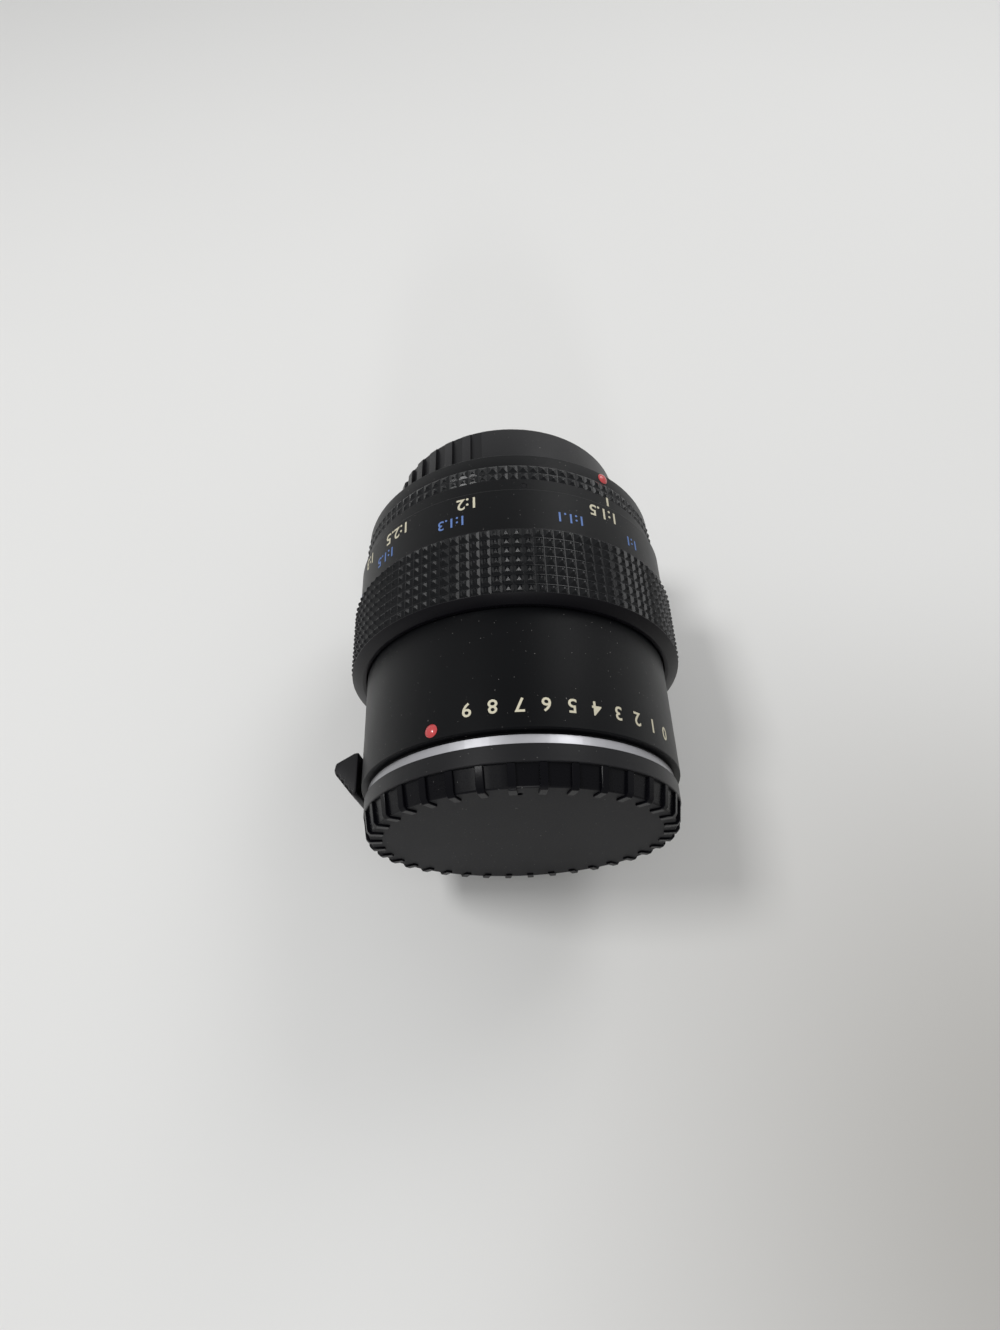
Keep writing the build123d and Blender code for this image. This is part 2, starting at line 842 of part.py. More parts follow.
# Keys inside the rear of the barrel, running in the guide tube's slots
with BuildPart() as guide_keys:
    key_middle = guide_key_rear - guide_key_length / 2
    for angle in guide_key_angles:
        with BuildSketch(radial(angle, key_middle).offset(guide_bore - loose_gap)) as key:
            Rectangle(guide_key_length, guide_key_width)
        extrude(key.sketch, amount=barrel_bore - guide_key_gap - guide_bore + loose_gap)
guide_keys.part.label = "guide_keys"
export_step(guide_keys.part, "parts/guide_keys.step")

# Baffle behind the front wall; its notch lets the stop-down fork through
fork_lead = 40.0
prong_offset = 0.8
prong_width = 2.6
prong_thickness = 1.3
finger_width = 1.8
baffle_step = 0.2
fork_angle = stop_pin_angle + fork_lead
prong_inner = throat_radius + prong_offset
prong_outer = prong_inner + prong_thickness
fork_sweep = math.degrees((prong_width + 2 * joint_gap + 2 * finger_width) / prong_inner)
baffle_inner = throat_radius + baffle_step
with BuildPart() as front_baffle:
    tube(baffle_inner, barrel_bore - seat_gap, front_wall_back, baffle_back)
    sector(
        baffle_inner - cut_overrun,
        stop_pocket_radius,
        front_wall_back - cut_overrun,
        baffle_back + cut_overrun,
        fork_angle - stop_travel / 2,
        stop_travel + fork_sweep + 3 * slot_margin,
        Mode.SUBTRACT,
    )
    rods(
        lock_pin_circle,
        lock_pin_radius + lock_pin_gap,
        front_wall_back,
        baffle_back,
        [release_angle],
        Mode.SUBTRACT,
    )
front_baffle.part.label = "front_baffle"
export_step(front_baffle.part, "parts/front_baffle.step")

# Lock pin with its collar and the slider behind the baffle
with BuildPart() as lock_pin:
    pin_front = flange_front - lock_pin_rise
    rods(lock_pin_circle, lock_pin_radius, pin_front, stem_front, [release_angle])
    rods(
        lock_pin_circle,
        lock_collar_radius,
        lock_collar_front,
        lock_collar_front + lock_collar_length,
        [release_angle],
    )
lock_pin.part.label = "lock_pin"
export_step(lock_pin.part, "parts/lock_pin.step")

# Spring round the lock pin, between its collar and the baffle
spring_wire = 0.22
spring_wire_sides = 6
spring_turns = 6
spring_gap = 0.2
spring_coil_radius = lock_pin_radius + spring_wire + spring_gap
with BuildPart() as lock_spring:
    coil_front = lock_collar_front + lock_collar_length + spring_wire + seat_gap
    coil_rear = front_wall_back - spring_wire - seat_gap
    coil_length = coil_rear - coil_front
    pin_x, pin_z = polar(lock_pin_circle, release_angle)
    with BuildLine() as coil:
        Helix(
            pitch=coil_length / spring_turns,
            height=coil_length,
            radius=spring_coil_radius,
            center=(pin_x, coil_front, pin_z),
            direction=(0, 1, 0),
        )
    with BuildSketch(Plane(origin=coil.line @ 0, z_dir=coil.line % 0)) as wire:
        RegularPolygon(spring_wire, spring_wire_sides)
    sweep(wire.sketch, path=coil.line, is_frenet=True)
lock_spring.part.label = "lock_spring"
export_step(lock_spring.part, "parts/lock_spring.step")

# Release lever: a block outside the barrel, a stem through the window and a slider inside
lever_gap = 0.5
lever_height = 4.65
lever_length = 8.8
lever_nose_distance = 1.75
lever_nose_height = 0.35
lever_half_width = 5.7
lever_back_slope = 0.35
lever_shoulder_length = 1.3
lever_shoulder_drop = 0.3
lever_crest_start = 2.9
lever_crest_end = 4.6
lever_crest_drop = 0.5
lever_serrations = 5
lever_serration_depth = 0.55
stem_overlap = 0.5
slider_corner_gap = 0.45
lever_foot = barrel_radius + lever_gap
lever_top = lever_foot + lever_height
lever_nose = flange_front + lever_nose_distance
lever_rear = lever_nose + lever_length


def lever_outline():
    """Side outline of the lever block as (y, radius) points, with its serrated slanting front."""
    slant_top = (lever_rear - lever_crest_end, lever_top - lever_crest_drop)
    slant_foot = (lever_nose, lever_foot + lever_nose_height)
    points = [
        (lever_rear, lever_foot),
        (lever_rear - lever_back_slope, lever_top - lever_shoulder_length),
        (lever_rear - lever_shoulder_length, lever_top - lever_shoulder_drop),
        (lever_rear - lever_crest_start, lever_top),
    ]
    along_y = slant_foot[0] - slant_top[0]
    along_r = slant_foot[1] - slant_top[1]
    length = math.hypot(along_y, along_r)
    inward = (along_r / length, -along_y / length)
    for step in range(2 * lever_serrations + 1):
        share = step / (2 * lever_serrations)
        depth = lever_serration_depth if step % 2 else 0
        points.append(
            (
                slant_top[0] + along_y * share - inward[0] * depth,
                slant_top[1] + along_r * share - inward[1] * depth,
            )
        )
    points.append((lever_nose, lever_foot))
    return points


with BuildPart() as release_lever:
    side_turn = math.radians(release_angle)
    outward = (math.sin(side_turn), 0, math.cos(side_turn))
    sideways = (math.cos(side_turn), 0, -math.sin(side_turn))
    profile_plane = Plane(origin=(0, 0, 0), x_dir=(0, 1, 0), z_dir=sideways)
    flip = 1 if profile_plane.y_dir.dot(Vector(*outward)) > 0 else -1
    with BuildSketch(profile_plane) as block:
        with BuildLine():
            Polyline(*[(y, flip * radius) for y, radius in lever_outline()], close=True)
        make_face()
    extrude(block.sketch, amount=lever_half_width, both=True)
    stem_middle = stem_front + stem_length / 2
    with BuildSketch(radial(release_angle, stem_middle).offset(slider_outer - slider_height)) as stem:
        Rectangle(stem_length, stem_width)
    extrude(stem.sketch, amount=lever_foot - slider_outer + slider_height + stem_overlap)
    with BuildSketch(radial(release_angle, stem_middle).offset(slider_outer - slider_height)) as slider:
        Rectangle(stem_length, slider_width)
    extrude(slider.sketch, amount=slider_height - slider_corner_gap)
release_lever.part.label = "release_lever"
export_step(release_lever.part, "parts/release_lever.step")

# Rear stop-down ring: its pin meets the camera's lever, its prong reaches forward
stop_ring_inset = 1.4
prong_rest_gap = 1.0
stop_pin_reach = 1.0
stop_ring_outer = prong_inner - stop_ring_inset
prong_front = baffle_back + rest_extension + prong_rest_gap
stop_pin_rear = bayonet_tube_length + stop_pin_reach
with BuildPart() as rear_stop_ring:
    tube(optics_step_radius + 2 * running_gap, stop_ring_outer, stop_ring_front, stop_ring_rear)
    rods(stop_pin_circle, stop_pin_radius, stop_ring_rear, stop_pin_rear, [stop_pin_angle])
    arm_sweep = math.degrees(prong_width / prong_inner)
    sector(stop_ring_outer - cut_overrun, prong_outer, stop_ring_front, stop_ring_rear, fork_angle, arm_sweep)
    sector(prong_inner, prong_outer, prong_front, stop_ring_rear, fork_angle, arm_sweep)
rear_stop_ring.part.label = "rear_stop_ring"
export_step(rear_stop_ring.part, "parts/rear_stop_ring.step")

# Front stop-down ring: its fork slides on the prong, its tab meets the lens's lever
fork_overlap = 4.4
tab_reach = 3.1
tab_thickness = 1.3
tab_distance = 0.8
tab_root = 0.4
fork_rear = prong_front + fork_overlap
tab_inner = throat_radius - tab_reach
tab_front = baffle_back + tab_distance
with BuildPart() as front_stop_ring:
    ring_front = stop_pocket_front + joint_gap
    ring_back = front_wall_back - joint_gap
    tube(baffle_inner + joint_gap, stop_pocket_radius - 2 * running_gap, ring_front, ring_back)
    half_gap = math.degrees((prong_width / 2 + joint_gap) / prong_inner)
    finger_sweep = math.degrees(finger_width / prong_inner)
    for side in (-1, 1):
        sector(
            prong_inner,
            prong_outer,
            ring_back - joint_gap,
            fork_rear,
            fork_angle + side * (half_gap + finger_sweep / 2),
            finger_sweep,
        )
    sector(
        tab_inner,
        prong_inner + tab_root,
        tab_front,
        tab_front + tab_thickness,
        fork_angle + half_gap + finger_sweep / 2,
        finger_sweep,
    )
front_stop_ring.part.label = "front_stop_ring"
export_step(front_stop_ring.part, "parts/front_stop_ring.step")

# Front cap: a ribbed disc with a bayonet skirt
front_cap_length = 7.2
front_cap_overhang = 0.55
front_cap_taper = 0.7
front_cap_flange = 3.1
front_cap_wall = 1.8
front_cap_web = 1.2
front_cap_pocket_gap = 0.6
front_cap_edge = 0.3
front_cap_rib_step = 0.15
front_cap_chamfer = 0.2
front_cap_facets = 36
facet_groove = 0.55
facet_groove_width = 0.9
face_notch_length = 2.7
face_notch_depth = 0.8
front_skirt_wall = 1.4
front_skirt_reach = 4.0
front_lug_sweep = 44.0
front_lug_gap = 0.75
front_lug_thickness = 1.4
front_cap_radius = plate_radius + front_cap_overhang
front_cap_face_radius = front_cap_radius - front_cap_taper
front_skirt_radius = throat_radius - loose_gap
front_lug_radius = lug_bore_radius - loose_gap
front_lug_front = plate_lug_thickness + front_lug_gap
cap_seat = flange_front - seat_gap
face_y = cap_seat - front_cap_length
with BuildPart() as front_cap:
    rib_start = cap_seat - front_cap_flange
    turned(
        [
            (0, face_y),
            (front_cap_face_radius - front_cap_edge, face_y),
            (front_cap_face_radius, face_y + front_cap_edge),
            (front_cap_radius - front_cap_rib_step, rib_start),
            (front_cap_radius, rib_start),
            (front_cap_radius, cap_seat - front_cap_chamfer),
            (front_cap_radius - front_cap_chamfer, cap_seat),
            (lug_bore_radius + front_cap_pocket_gap, cap_seat),
            (lug_bore_radius + front_cap_pocket_gap, face_y + front_cap_wall + front_cap_web),
            (front_skirt_radius, face_y + front_cap_wall + front_cap_web),
            (front_skirt_radius, flange_front + front_skirt_reach),
            (front_skirt_radius - front_skirt_wall, flange_front + front_skirt_reach),
            (front_skirt_radius - front_skirt_wall, face_y + front_cap_wall),
            (0, face_y + front_cap_wall),
        ]
    )
    for angle in shared_angles(lens_index_angle, lug_count):
        sector(
            front_skirt_radius - joint_gap,
            front_lug_radius,
            flange_front + front_lug_front,
            flange_front + front_lug_front + front_lug_thickness,
            angle,
            front_lug_sweep,
        )
    with BuildSketch(across(rib_start)) as grooves:
        for angle in shared_angles(0, front_cap_facets):
            with Locations(Location((*polar(front_cap_radius, angle), 0), -angle)):
                Rectangle(facet_groove_width, 2 * (facet_groove + front_cap_taper))
    extrude(grooves.sketch, amount=front_cap_length, mode=Mode.SUBTRACT)
    with BuildSketch(across(face_y + face_notch_depth)) as notches:
        for angle in shared_angles(0, front_cap_facets):
            with Locations(Location((*polar(front_cap_radius - face_notch_length / 2, angle), 0), -angle)):
                Rectangle(facet_groove_width, face_notch_length + cut_overrun)
    extrude(notches.sketch, amount=face_notch_depth + cut_overrun, mode=Mode.SUBTRACT)
    rods(
        lock_pin_circle,
        lock_pin_radius + loose_gap,
        flange_front - lock_pin_rise - loose_gap,
        cap_seat,
        [release_angle],
        Mode.SUBTRACT,
    )
front_cap.part.label = "front_cap"
export_step(front_cap.part, "parts/front_cap.step")

# Rear cap: a cup with two ribbed grips and inner lugs
rear_cap_length = 13.8
rear_cap_gap = 0.35
rear_cap_side = 2.05
rear_cap_taper = 0.4
rear_cap_wall = 1.5
rear_cap_edge = 1.0
rear_cap_step = 0.6
rear_cap_step_gap = 1.6
rear_lug_sweep = 45.0
rear_lug_bottom = 0.6
rear_lug_thickness = 1.6
grip_groove_depth = 1.1
grip_groove_width = 1.9
grip_groove_pitch = 9.6
grip_groove_count = 11
grip_middles = (-62.0, 118.0)
rear_cap_bore = lug_radius + rear_cap_gap
rear_cap_radius = rear_cap_bore + rear_cap_side
rear_cap_top_radius = rear_cap_radius - rear_cap_taper
rear_lug_inner = bayonet_tube_radius + loose_gap
with BuildPart() as rear_cap:
    turned(
        [
            (rear_cap_bore, seat_gap),
            (rear_cap_radius, seat_gap),
            (rear_cap_top_radius, rear_cap_length - rear_cap_edge),
            (rear_cap_top_radius - rear_cap_edge, rear_cap_length),
            (0, rear_cap_length),
            (0, rear_cap_length - rear_cap_wall),
            (rear_cap_bore - rear_cap_step, rear_cap_length - rear_cap_wall),
            (rear_cap_bore - rear_cap_step, lug_front + lug_thickness + rear_cap_step_gap),
            (rear_cap_bore, lug_front + lug_thickness + rear_cap_step_gap),
        ]
    )
    for angle in shared_angles(camera_index_angle + 180 / lug_count, lug_count):
        sector(
            rear_lug_inner,
            rear_cap_bore + joint_gap,
            rear_lug_bottom,
            rear_lug_bottom + rear_lug_thickness,
            angle,
            rear_lug_sweep,
        )
    groove_middle = rear_cap_radius + (cut_overrun - grip_groove_depth) / 2
    with BuildSketch(across(rear_cap_length + cut_overrun)) as flutes:
        for middle in grip_middles:
            for step in range(grip_groove_count):
                angle = middle + (step - (grip_groove_count - 1) / 2) * grip_groove_pitch
                with Locations(Location((*polar(groove_middle, angle), 0), -angle)):
                    Rectangle(grip_groove_width, grip_groove_depth + cut_overrun)
    extrude(flutes.sketch, amount=rear_cap_length, mode=Mode.SUBTRACT)
rear_cap.part.label = "rear_cap"
export_step(rear_cap.part, "parts/rear_cap.step")
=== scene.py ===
"""A focusing camera teleconverter lying on its side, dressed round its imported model.

The optical axis is Y: the camera end is towards +Y and the lens end towards -Y.
Sizes are in millimetres. Angles round the axis are in degrees, from +Z towards +X.
"""

import logging
import math
from dataclasses import dataclass
from enum import Enum
from typing import Sequence, Union

import bmesh
import bpy
from bmesh.types import BMesh, BMVert
from bpy.types import Material, Object
from mathutils import Matrix, Vector


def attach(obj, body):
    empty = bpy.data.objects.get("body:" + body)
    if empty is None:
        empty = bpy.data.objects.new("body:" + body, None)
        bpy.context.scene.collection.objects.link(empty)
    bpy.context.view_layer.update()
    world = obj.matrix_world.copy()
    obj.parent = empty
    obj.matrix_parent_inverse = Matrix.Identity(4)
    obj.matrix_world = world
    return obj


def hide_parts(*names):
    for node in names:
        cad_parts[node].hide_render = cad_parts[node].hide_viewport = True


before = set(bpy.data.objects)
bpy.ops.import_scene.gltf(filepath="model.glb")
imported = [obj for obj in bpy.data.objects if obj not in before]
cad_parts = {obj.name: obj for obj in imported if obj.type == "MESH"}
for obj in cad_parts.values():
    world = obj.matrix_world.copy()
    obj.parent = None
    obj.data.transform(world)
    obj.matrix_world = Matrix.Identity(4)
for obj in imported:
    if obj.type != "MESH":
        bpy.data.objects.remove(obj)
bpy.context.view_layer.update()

log = logging.getLogger("teleconverter")

MM = 0.001
MERGE = 0.002  # points nearer than this become one
TINY = 1e-5  # what counts as nothing
BEAD_SEAT = (1.18, 1.26)  # radius and length of the cutter
DUST = (0.32, 0.31, 0.30)
Triple = tuple[float, float, float]
Number = Union[float, "Term"]
Colour = Union[Triple, "Term"]
Outline = Sequence[tuple[float, float]]


class Slot(Enum):
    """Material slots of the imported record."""

    ENAMEL = "black_paint"
    ANODISED = "black_anodised"
    FLAT_BLACK = "inner_black"
    CHROME = "bright_steel"
    CAP = "cap_plastic"
    LEVER = "lever_plastic"
    BEAD = "red_bead"
    GLASS = "coated_glass"


class Body(Enum):
    """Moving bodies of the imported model."""

    REAR = "rear_body"
    RING = "focusing_ring"
    BARREL = "front_barrel"
    RELEASE = "lens_release"
    FRONT_CAP = "front_cap"
    REAR_CAP = "rear_cap"


class Smooth(float, Enum):
    """Turn in degrees above which an edge stays sharp."""

    PLATE = 12.0
    KNURL = 15.0
    USUAL = 20.0
    SOFT = 25.0


def link_object(name: str, data: bpy.types.ID) -> Object:
    """Put new data into the scene as an object."""
    made = bpy.data.objects.new(name, data)
    bpy.context.scene.collection.objects.link(made)
    return made


def link_mesh(name: str, mesh: BMesh) -> Object:
    """Put a bmesh into the scene as an object, and free it."""
    data = bpy.data.meshes.new(name)
    mesh.to_mesh(data)
    mesh.free()
    return link_object(name, data)


class Term:
    """A shader value that takes part in sums: each sum adds its Math node."""

    def __init__(self, graph: "Graph", socket: bpy.types.NodeSocket) -> None:
        """Wrap an output socket of a node tree."""
        self.graph = graph
        self.socket = socket

    def _sum(self, operation: str, first: Number, second: Number) -> "Term":
        """Add a Math node.

        Args:
            operation: the Math node's operation.
            first: first value or term.
            second: second value or term.

        Returns:
            The node's result.
        """
        return self.graph.node("ShaderNodeMath", {"operation": operation}, {0: first, 1: second})

    def __add__(self, other: Number) -> "Term":
        """Sum of two values."""
        return self._sum("ADD", self, other)

    def __radd__(self, other: Number) -> "Term":
        """Sum with a number on the left."""
        return self._sum("ADD", other, self)

    def __sub__(self, other: Number) -> "Term":
        """Difference of two values."""
        return self._sum("SUBTRACT", self, other)

    def __rsub__(self, other: Number) -> "Term":
        """Difference with a number on the left."""
        return self._sum("SUBTRACT", other, self)

    def __mul__(self, other: Number) -> "Term":
        """Product of two values."""
        return self._sum("MULTIPLY", self, other)

    def __rmul__(self, other: Number) -> "Term":
        """Product with a number on the left."""
        return self._sum("MULTIPLY", other, self)

    def __truediv__(self, other: Number) -> "Term":
        """Quotient of two values."""
        return self._sum("DIVIDE", self, other)

    def __pow__(self, other: Number) -> "Term":
        """Power of a value."""
        return self._sum("POWER", self, other)

    def __or__(self, other: Number) -> "Term":
        """Larger of two values."""
        return self._sum("MAXIMUM", self, other)


class Graph:
    """A node tree under construction."""

    def __init__(self, tree: bpy.types.NodeTree) -> None:
        """Empty the tree."""
        self.tree = tree
        self.tree.nodes.clear()

    def node(
        self,
        kind: str,
        settings: dict[str, object],
        values: dict[Union[int, str], object],
        result: Union[int, str] = 0,
    ) -> Term:
        """Add any node.

        Args:
            kind: the node's type.
            settings: attributes that are set first.
            values: numbers, colours or terms of the node's sockets.
            result: the output that is wanted.

        Returns:
            That output as a term.
        """
        made = self.tree.nodes.new(kind)
        for name, value in settings.items():
            setattr(made, name, value)
        for socket, value in values.items():
            self.fill(made.inputs[socket], value)
        return Term(self, made.outputs[result])

    def fill(self, socket: bpy.types.NodeSocket, value: object) -> None:
        """Give an input a constant or a link."""
        if isinstance(value, Term):
            self.tree.links.new(value.socket, socket)
        else:
            socket.default_value = value

    def close(self, kind: str, surface: bpy.types.NodeSocket) -> None:
        """Add the output node of this kind and link a shader to it."""
        self.tree.links.new(surface, self.tree.nodes.new(kind).inputs["Surface"])


class Paint(Graph):
    """A procedural material under construction."""

    def __init__(self, name: str) -> None:
        """Start an empty material with its output and its principled shader."""
        self.material = bpy.data.materials.new(name)
        self.material.use_nodes = True
        super().__init__(self.material.node_tree)
        self.shader = self.tree.nodes.new("ShaderNodeBsdfPrincipled")
        self.close("ShaderNodeOutputMaterial", self.shader.outputs[0])
        self.place = self.node("ShaderNodeTexCoord", {}, {}, "Object")

    def feed(self, socket: str, value: object) -> None:
        """Give the principled shader a constant or a link."""
        self.fill(self.shader.inputs[socket], value)

    def dim(self, facing: float) -> None:
        """Keep this share of the reflection face on, and all of it at a glance."""
        self.feed("Specular Tint", (facing, facing, facing, 1.0))

    def noise(self, per_metre: float, detail: float = 2.0, place: Union[Term, None] = None) -> Term:
        """Noise, on object coordinates unless told otherwise.

        Args:
            per_metre: cells to the metre.
            detail: octaves.
            place: other coordinates.

        Returns:
            The noise from 0 to 1.
        """
        values = {"Vector": place or self.place, "Scale": per_metre, "Detail": detail}
        return self.node("ShaderNodeTexNoise", {}, values)

    def specks(self, per_metre: float) -> Term:
        """Sparse specks: the peaks of a plain noise."""
        return self.ramp(self.noise(per_metre, 0.0), 0.86, 0.88)

    def axis(self, letter: str) -> Term:
        """One object coordinate, in metres."""
        return self.node("ShaderNodeSeparateXYZ", {}, {0: self.place}, letter)

    def radius(self) -> Term:
        """Distance from the optical axis, in millimetres."""
        across, up = self.axis("X"), self.axis("Z")
        return ((across * across + up * up) ** 0.5) / MM

    def ramp(self, value: Term, low: float, high: float) -> Term:
        """Value carried from low..high to a smooth 0..1."""
        settings = {"interpolation_type": "SMOOTHSTEP"}
        values = {"Value": value, "From Min": low, "From Max": high}
        return self.node("ShaderNodeMapRange", settings, values)

    def mix(self, share: Term, first: Colour, second: Colour) -> Term:
        """Blend of two colours."""
        values = {0: share}
        for socket, colour in ((6, first), (7, second)):
            values[socket] = colour if isinstance(colour, Term) else (*colour, 1.0)
        return self.node("ShaderNodeMix", {"data_type": "RGBA"}, values, 2)

    def relief(self, height: Term, strength: float, depth: float) -> None:
        """Bump the surface by a height.

        Args:
            height: the height, 0 to 1.
            strength: share of the bump that shows.
            depth: its depth in metres.
        """
        values = {"Height": height, "Strength": strength, "Distance": depth}
        self.feed("Normal", self.node("ShaderNodeBump", {}, values))


@dataclass(frozen=True)
class Satin:
    """Satin or matt coating: fine pits, faint clouding and a few dust specks."""

    name: str
    colour: Triple
    roughness: float
    facing: float
    dust: float = 0.0
    gloss: float = 0.5
    cloud: float = 0.25
    grain_scale: float = 5000.0
    grain_depth: float = 0.00003
    grain_strength: float = 0.25

    def make(self) -> Material:
        """Build the material."""
        paint = Paint(self.name)
        cloud = paint.noise(90.0, 4.0)
        grain = paint.noise(self.grain_scale)
        lighter = tuple(part * (1 + self.cloud) for part in self.colour)
        clouded = paint.mix(cloud, self.colour, lighter)
        specks = paint.specks(3800.0) * self.dust
        paint.feed("Base Color", paint.mix(specks, clouded, DUST))
        paint.feed("Roughness", self.roughness - 0.05 + cloud * 0.12 + grain * 0.06)
        paint.feed("Specular IOR Level", self.gloss)
        paint.dim(self.facing)
        paint.relief(grain, self.grain_strength, self.grain_depth)
        return paint.material


@dataclass(frozen=True)
class WornKnurl:
    """Black coating that handling has thinned on the points of the knurling."""

    name: str
    tip_radius: float
    depth: float
    roughness: float
    colour: Triple = (0.0035, 0.0039, 0.0048)
    worn: Triple = (0.03, 0.03, 0.033)
    facing: float = 0.25

    def make(self) -> Material:
        """Build the material."""
        paint = Paint(self.name)
        patches = paint.noise(260.0, 3.0)
        tips = self.tip_radius - self.depth * 0.2
        height = paint.ramp(paint.radius(), tips, self.tip_radius)
        wear = height * paint.ramp(patches, 0.35, 0.7)
        paint.dim(self.facing)
        grain = paint.noise(7000.0, 2.0)
        paint.feed("Base Color", paint.mix(wear, self.colour, self.worn))
        paint.feed("Roughness", self.roughness + grain * 0.06 - wear * 0.05)
        paint.relief(grain, 0.3, 0.00003)
        return paint.material


@dataclass(frozen=True)
class TurnedMetal:
    """Bright metal with fine turning marks round the axis."""

    name: str
    colour: Triple
    roughness: float
    marks_per_metre: float = 9000.0

    def make(self) -> Material:
        """Build the material."""
        paint = Paint(self.name)
        line = {"X": paint.radius() * MM, "Y": paint.axis("Y")}
        turned = paint.node("ShaderNodeCombineXYZ", {}, line)
        marks = paint.noise(self.marks_per_metre, 2.0, turned)
        smear = paint.noise(120.0, 3.0)
        darker = tuple(part * 0.86 for part in self.colour)
        paint.feed("Base Color", paint.mix(smear, self.colour, darker))
        paint.feed("Metallic", 1.0)
        paint.feed("Roughness", self.roughness + marks * 0.08 + smear * 0.06)
        paint.relief(marks, 0.25, 0.00002)
        return paint.material


@dataclass(frozen=True)
class Gloss:
    """Smooth gloss plastic or enamel with slight clouding."""

    name: str
    colour: Triple
    roughness: float
    coat: float = 0.4

    def make(self) -> Material:
        """Build the material."""
        paint = Paint(self.name)
        cloud = paint.noise(700.0, 3.0)
        darker = tuple(part * 0.8 for part in self.colour)
        paint.feed("Base Color", paint.mix(cloud, self.colour, darker))
        paint.feed("Roughness", self.roughness + cloud * 0.08)
        paint.feed("Coat Weight", self.coat)
        paint.relief(paint.noise(2500.0, 2.0), 0.15, 0.00002)
        return paint.material


@dataclass(frozen=True)
class MouldedCap:
    """Cap plastic: gloss on the sides and a matt face, whose paler colour is partly a painted
    sheen.
    """

    name: str
    side: Triple
    face: Triple
    face_y: float
    step: float = 0.12
    facing: float = 0.2

    def make(self) -> Material:
        """Build the material."""
        paint = Paint(self.name)
        low, high = self.face_y + 0.3 * self.step, self.face_y + self.step
        inner = paint.ramp(paint.axis("Y") / MM, low, high)
        cloud = paint.noise(120.0, 3.0)
        grain = paint.noise(3000.0, 2.0)
        worn = tuple(part * 1.35 for part in self.face)
        # The face is paler than the sides partly as a painted sheen; its matt finish is in the
        # roughness.
        plain = paint.mix(inner, paint.mix(cloud, self.face, worn), self.side)
        paint.feed("Base Color", paint.mix(paint.specks(3600.0) * 0.5, plain, (0.3, 0.3, 0.29)))
        paint.feed("Roughness", 0.6 - inner * 0.36 + grain * 0.08)
        paint.feed("Specular IOR Level", 0.25)
        paint.dim(self.facing)
        paint.relief(grain * (1.0 - inner * 0.7), 0.35, 0.00004)
        return paint.material


@dataclass(frozen=True)
class CoatedGlass:
    """Lens glass with a faint violet coating."""

    name: str
    tint: Triple

    def make(self) -> Material:
        """Build the material."""
        paint = Paint(self.name)
        cloud = paint.noise(60.0, 2.0)
        paler = tuple(min(1.0, part * 1.08) for part in self.tint)
        paint.feed("Base Color", paint.mix(cloud, self.tint, paler))
        paint.feed("Roughness", 0.02 + cloud * 0.02)
        paint.feed("Transmission Weight", 1.0)
        paint.feed("IOR", 1.6)
        paint.feed("Coat Weight", 0.6)
        return paint.material


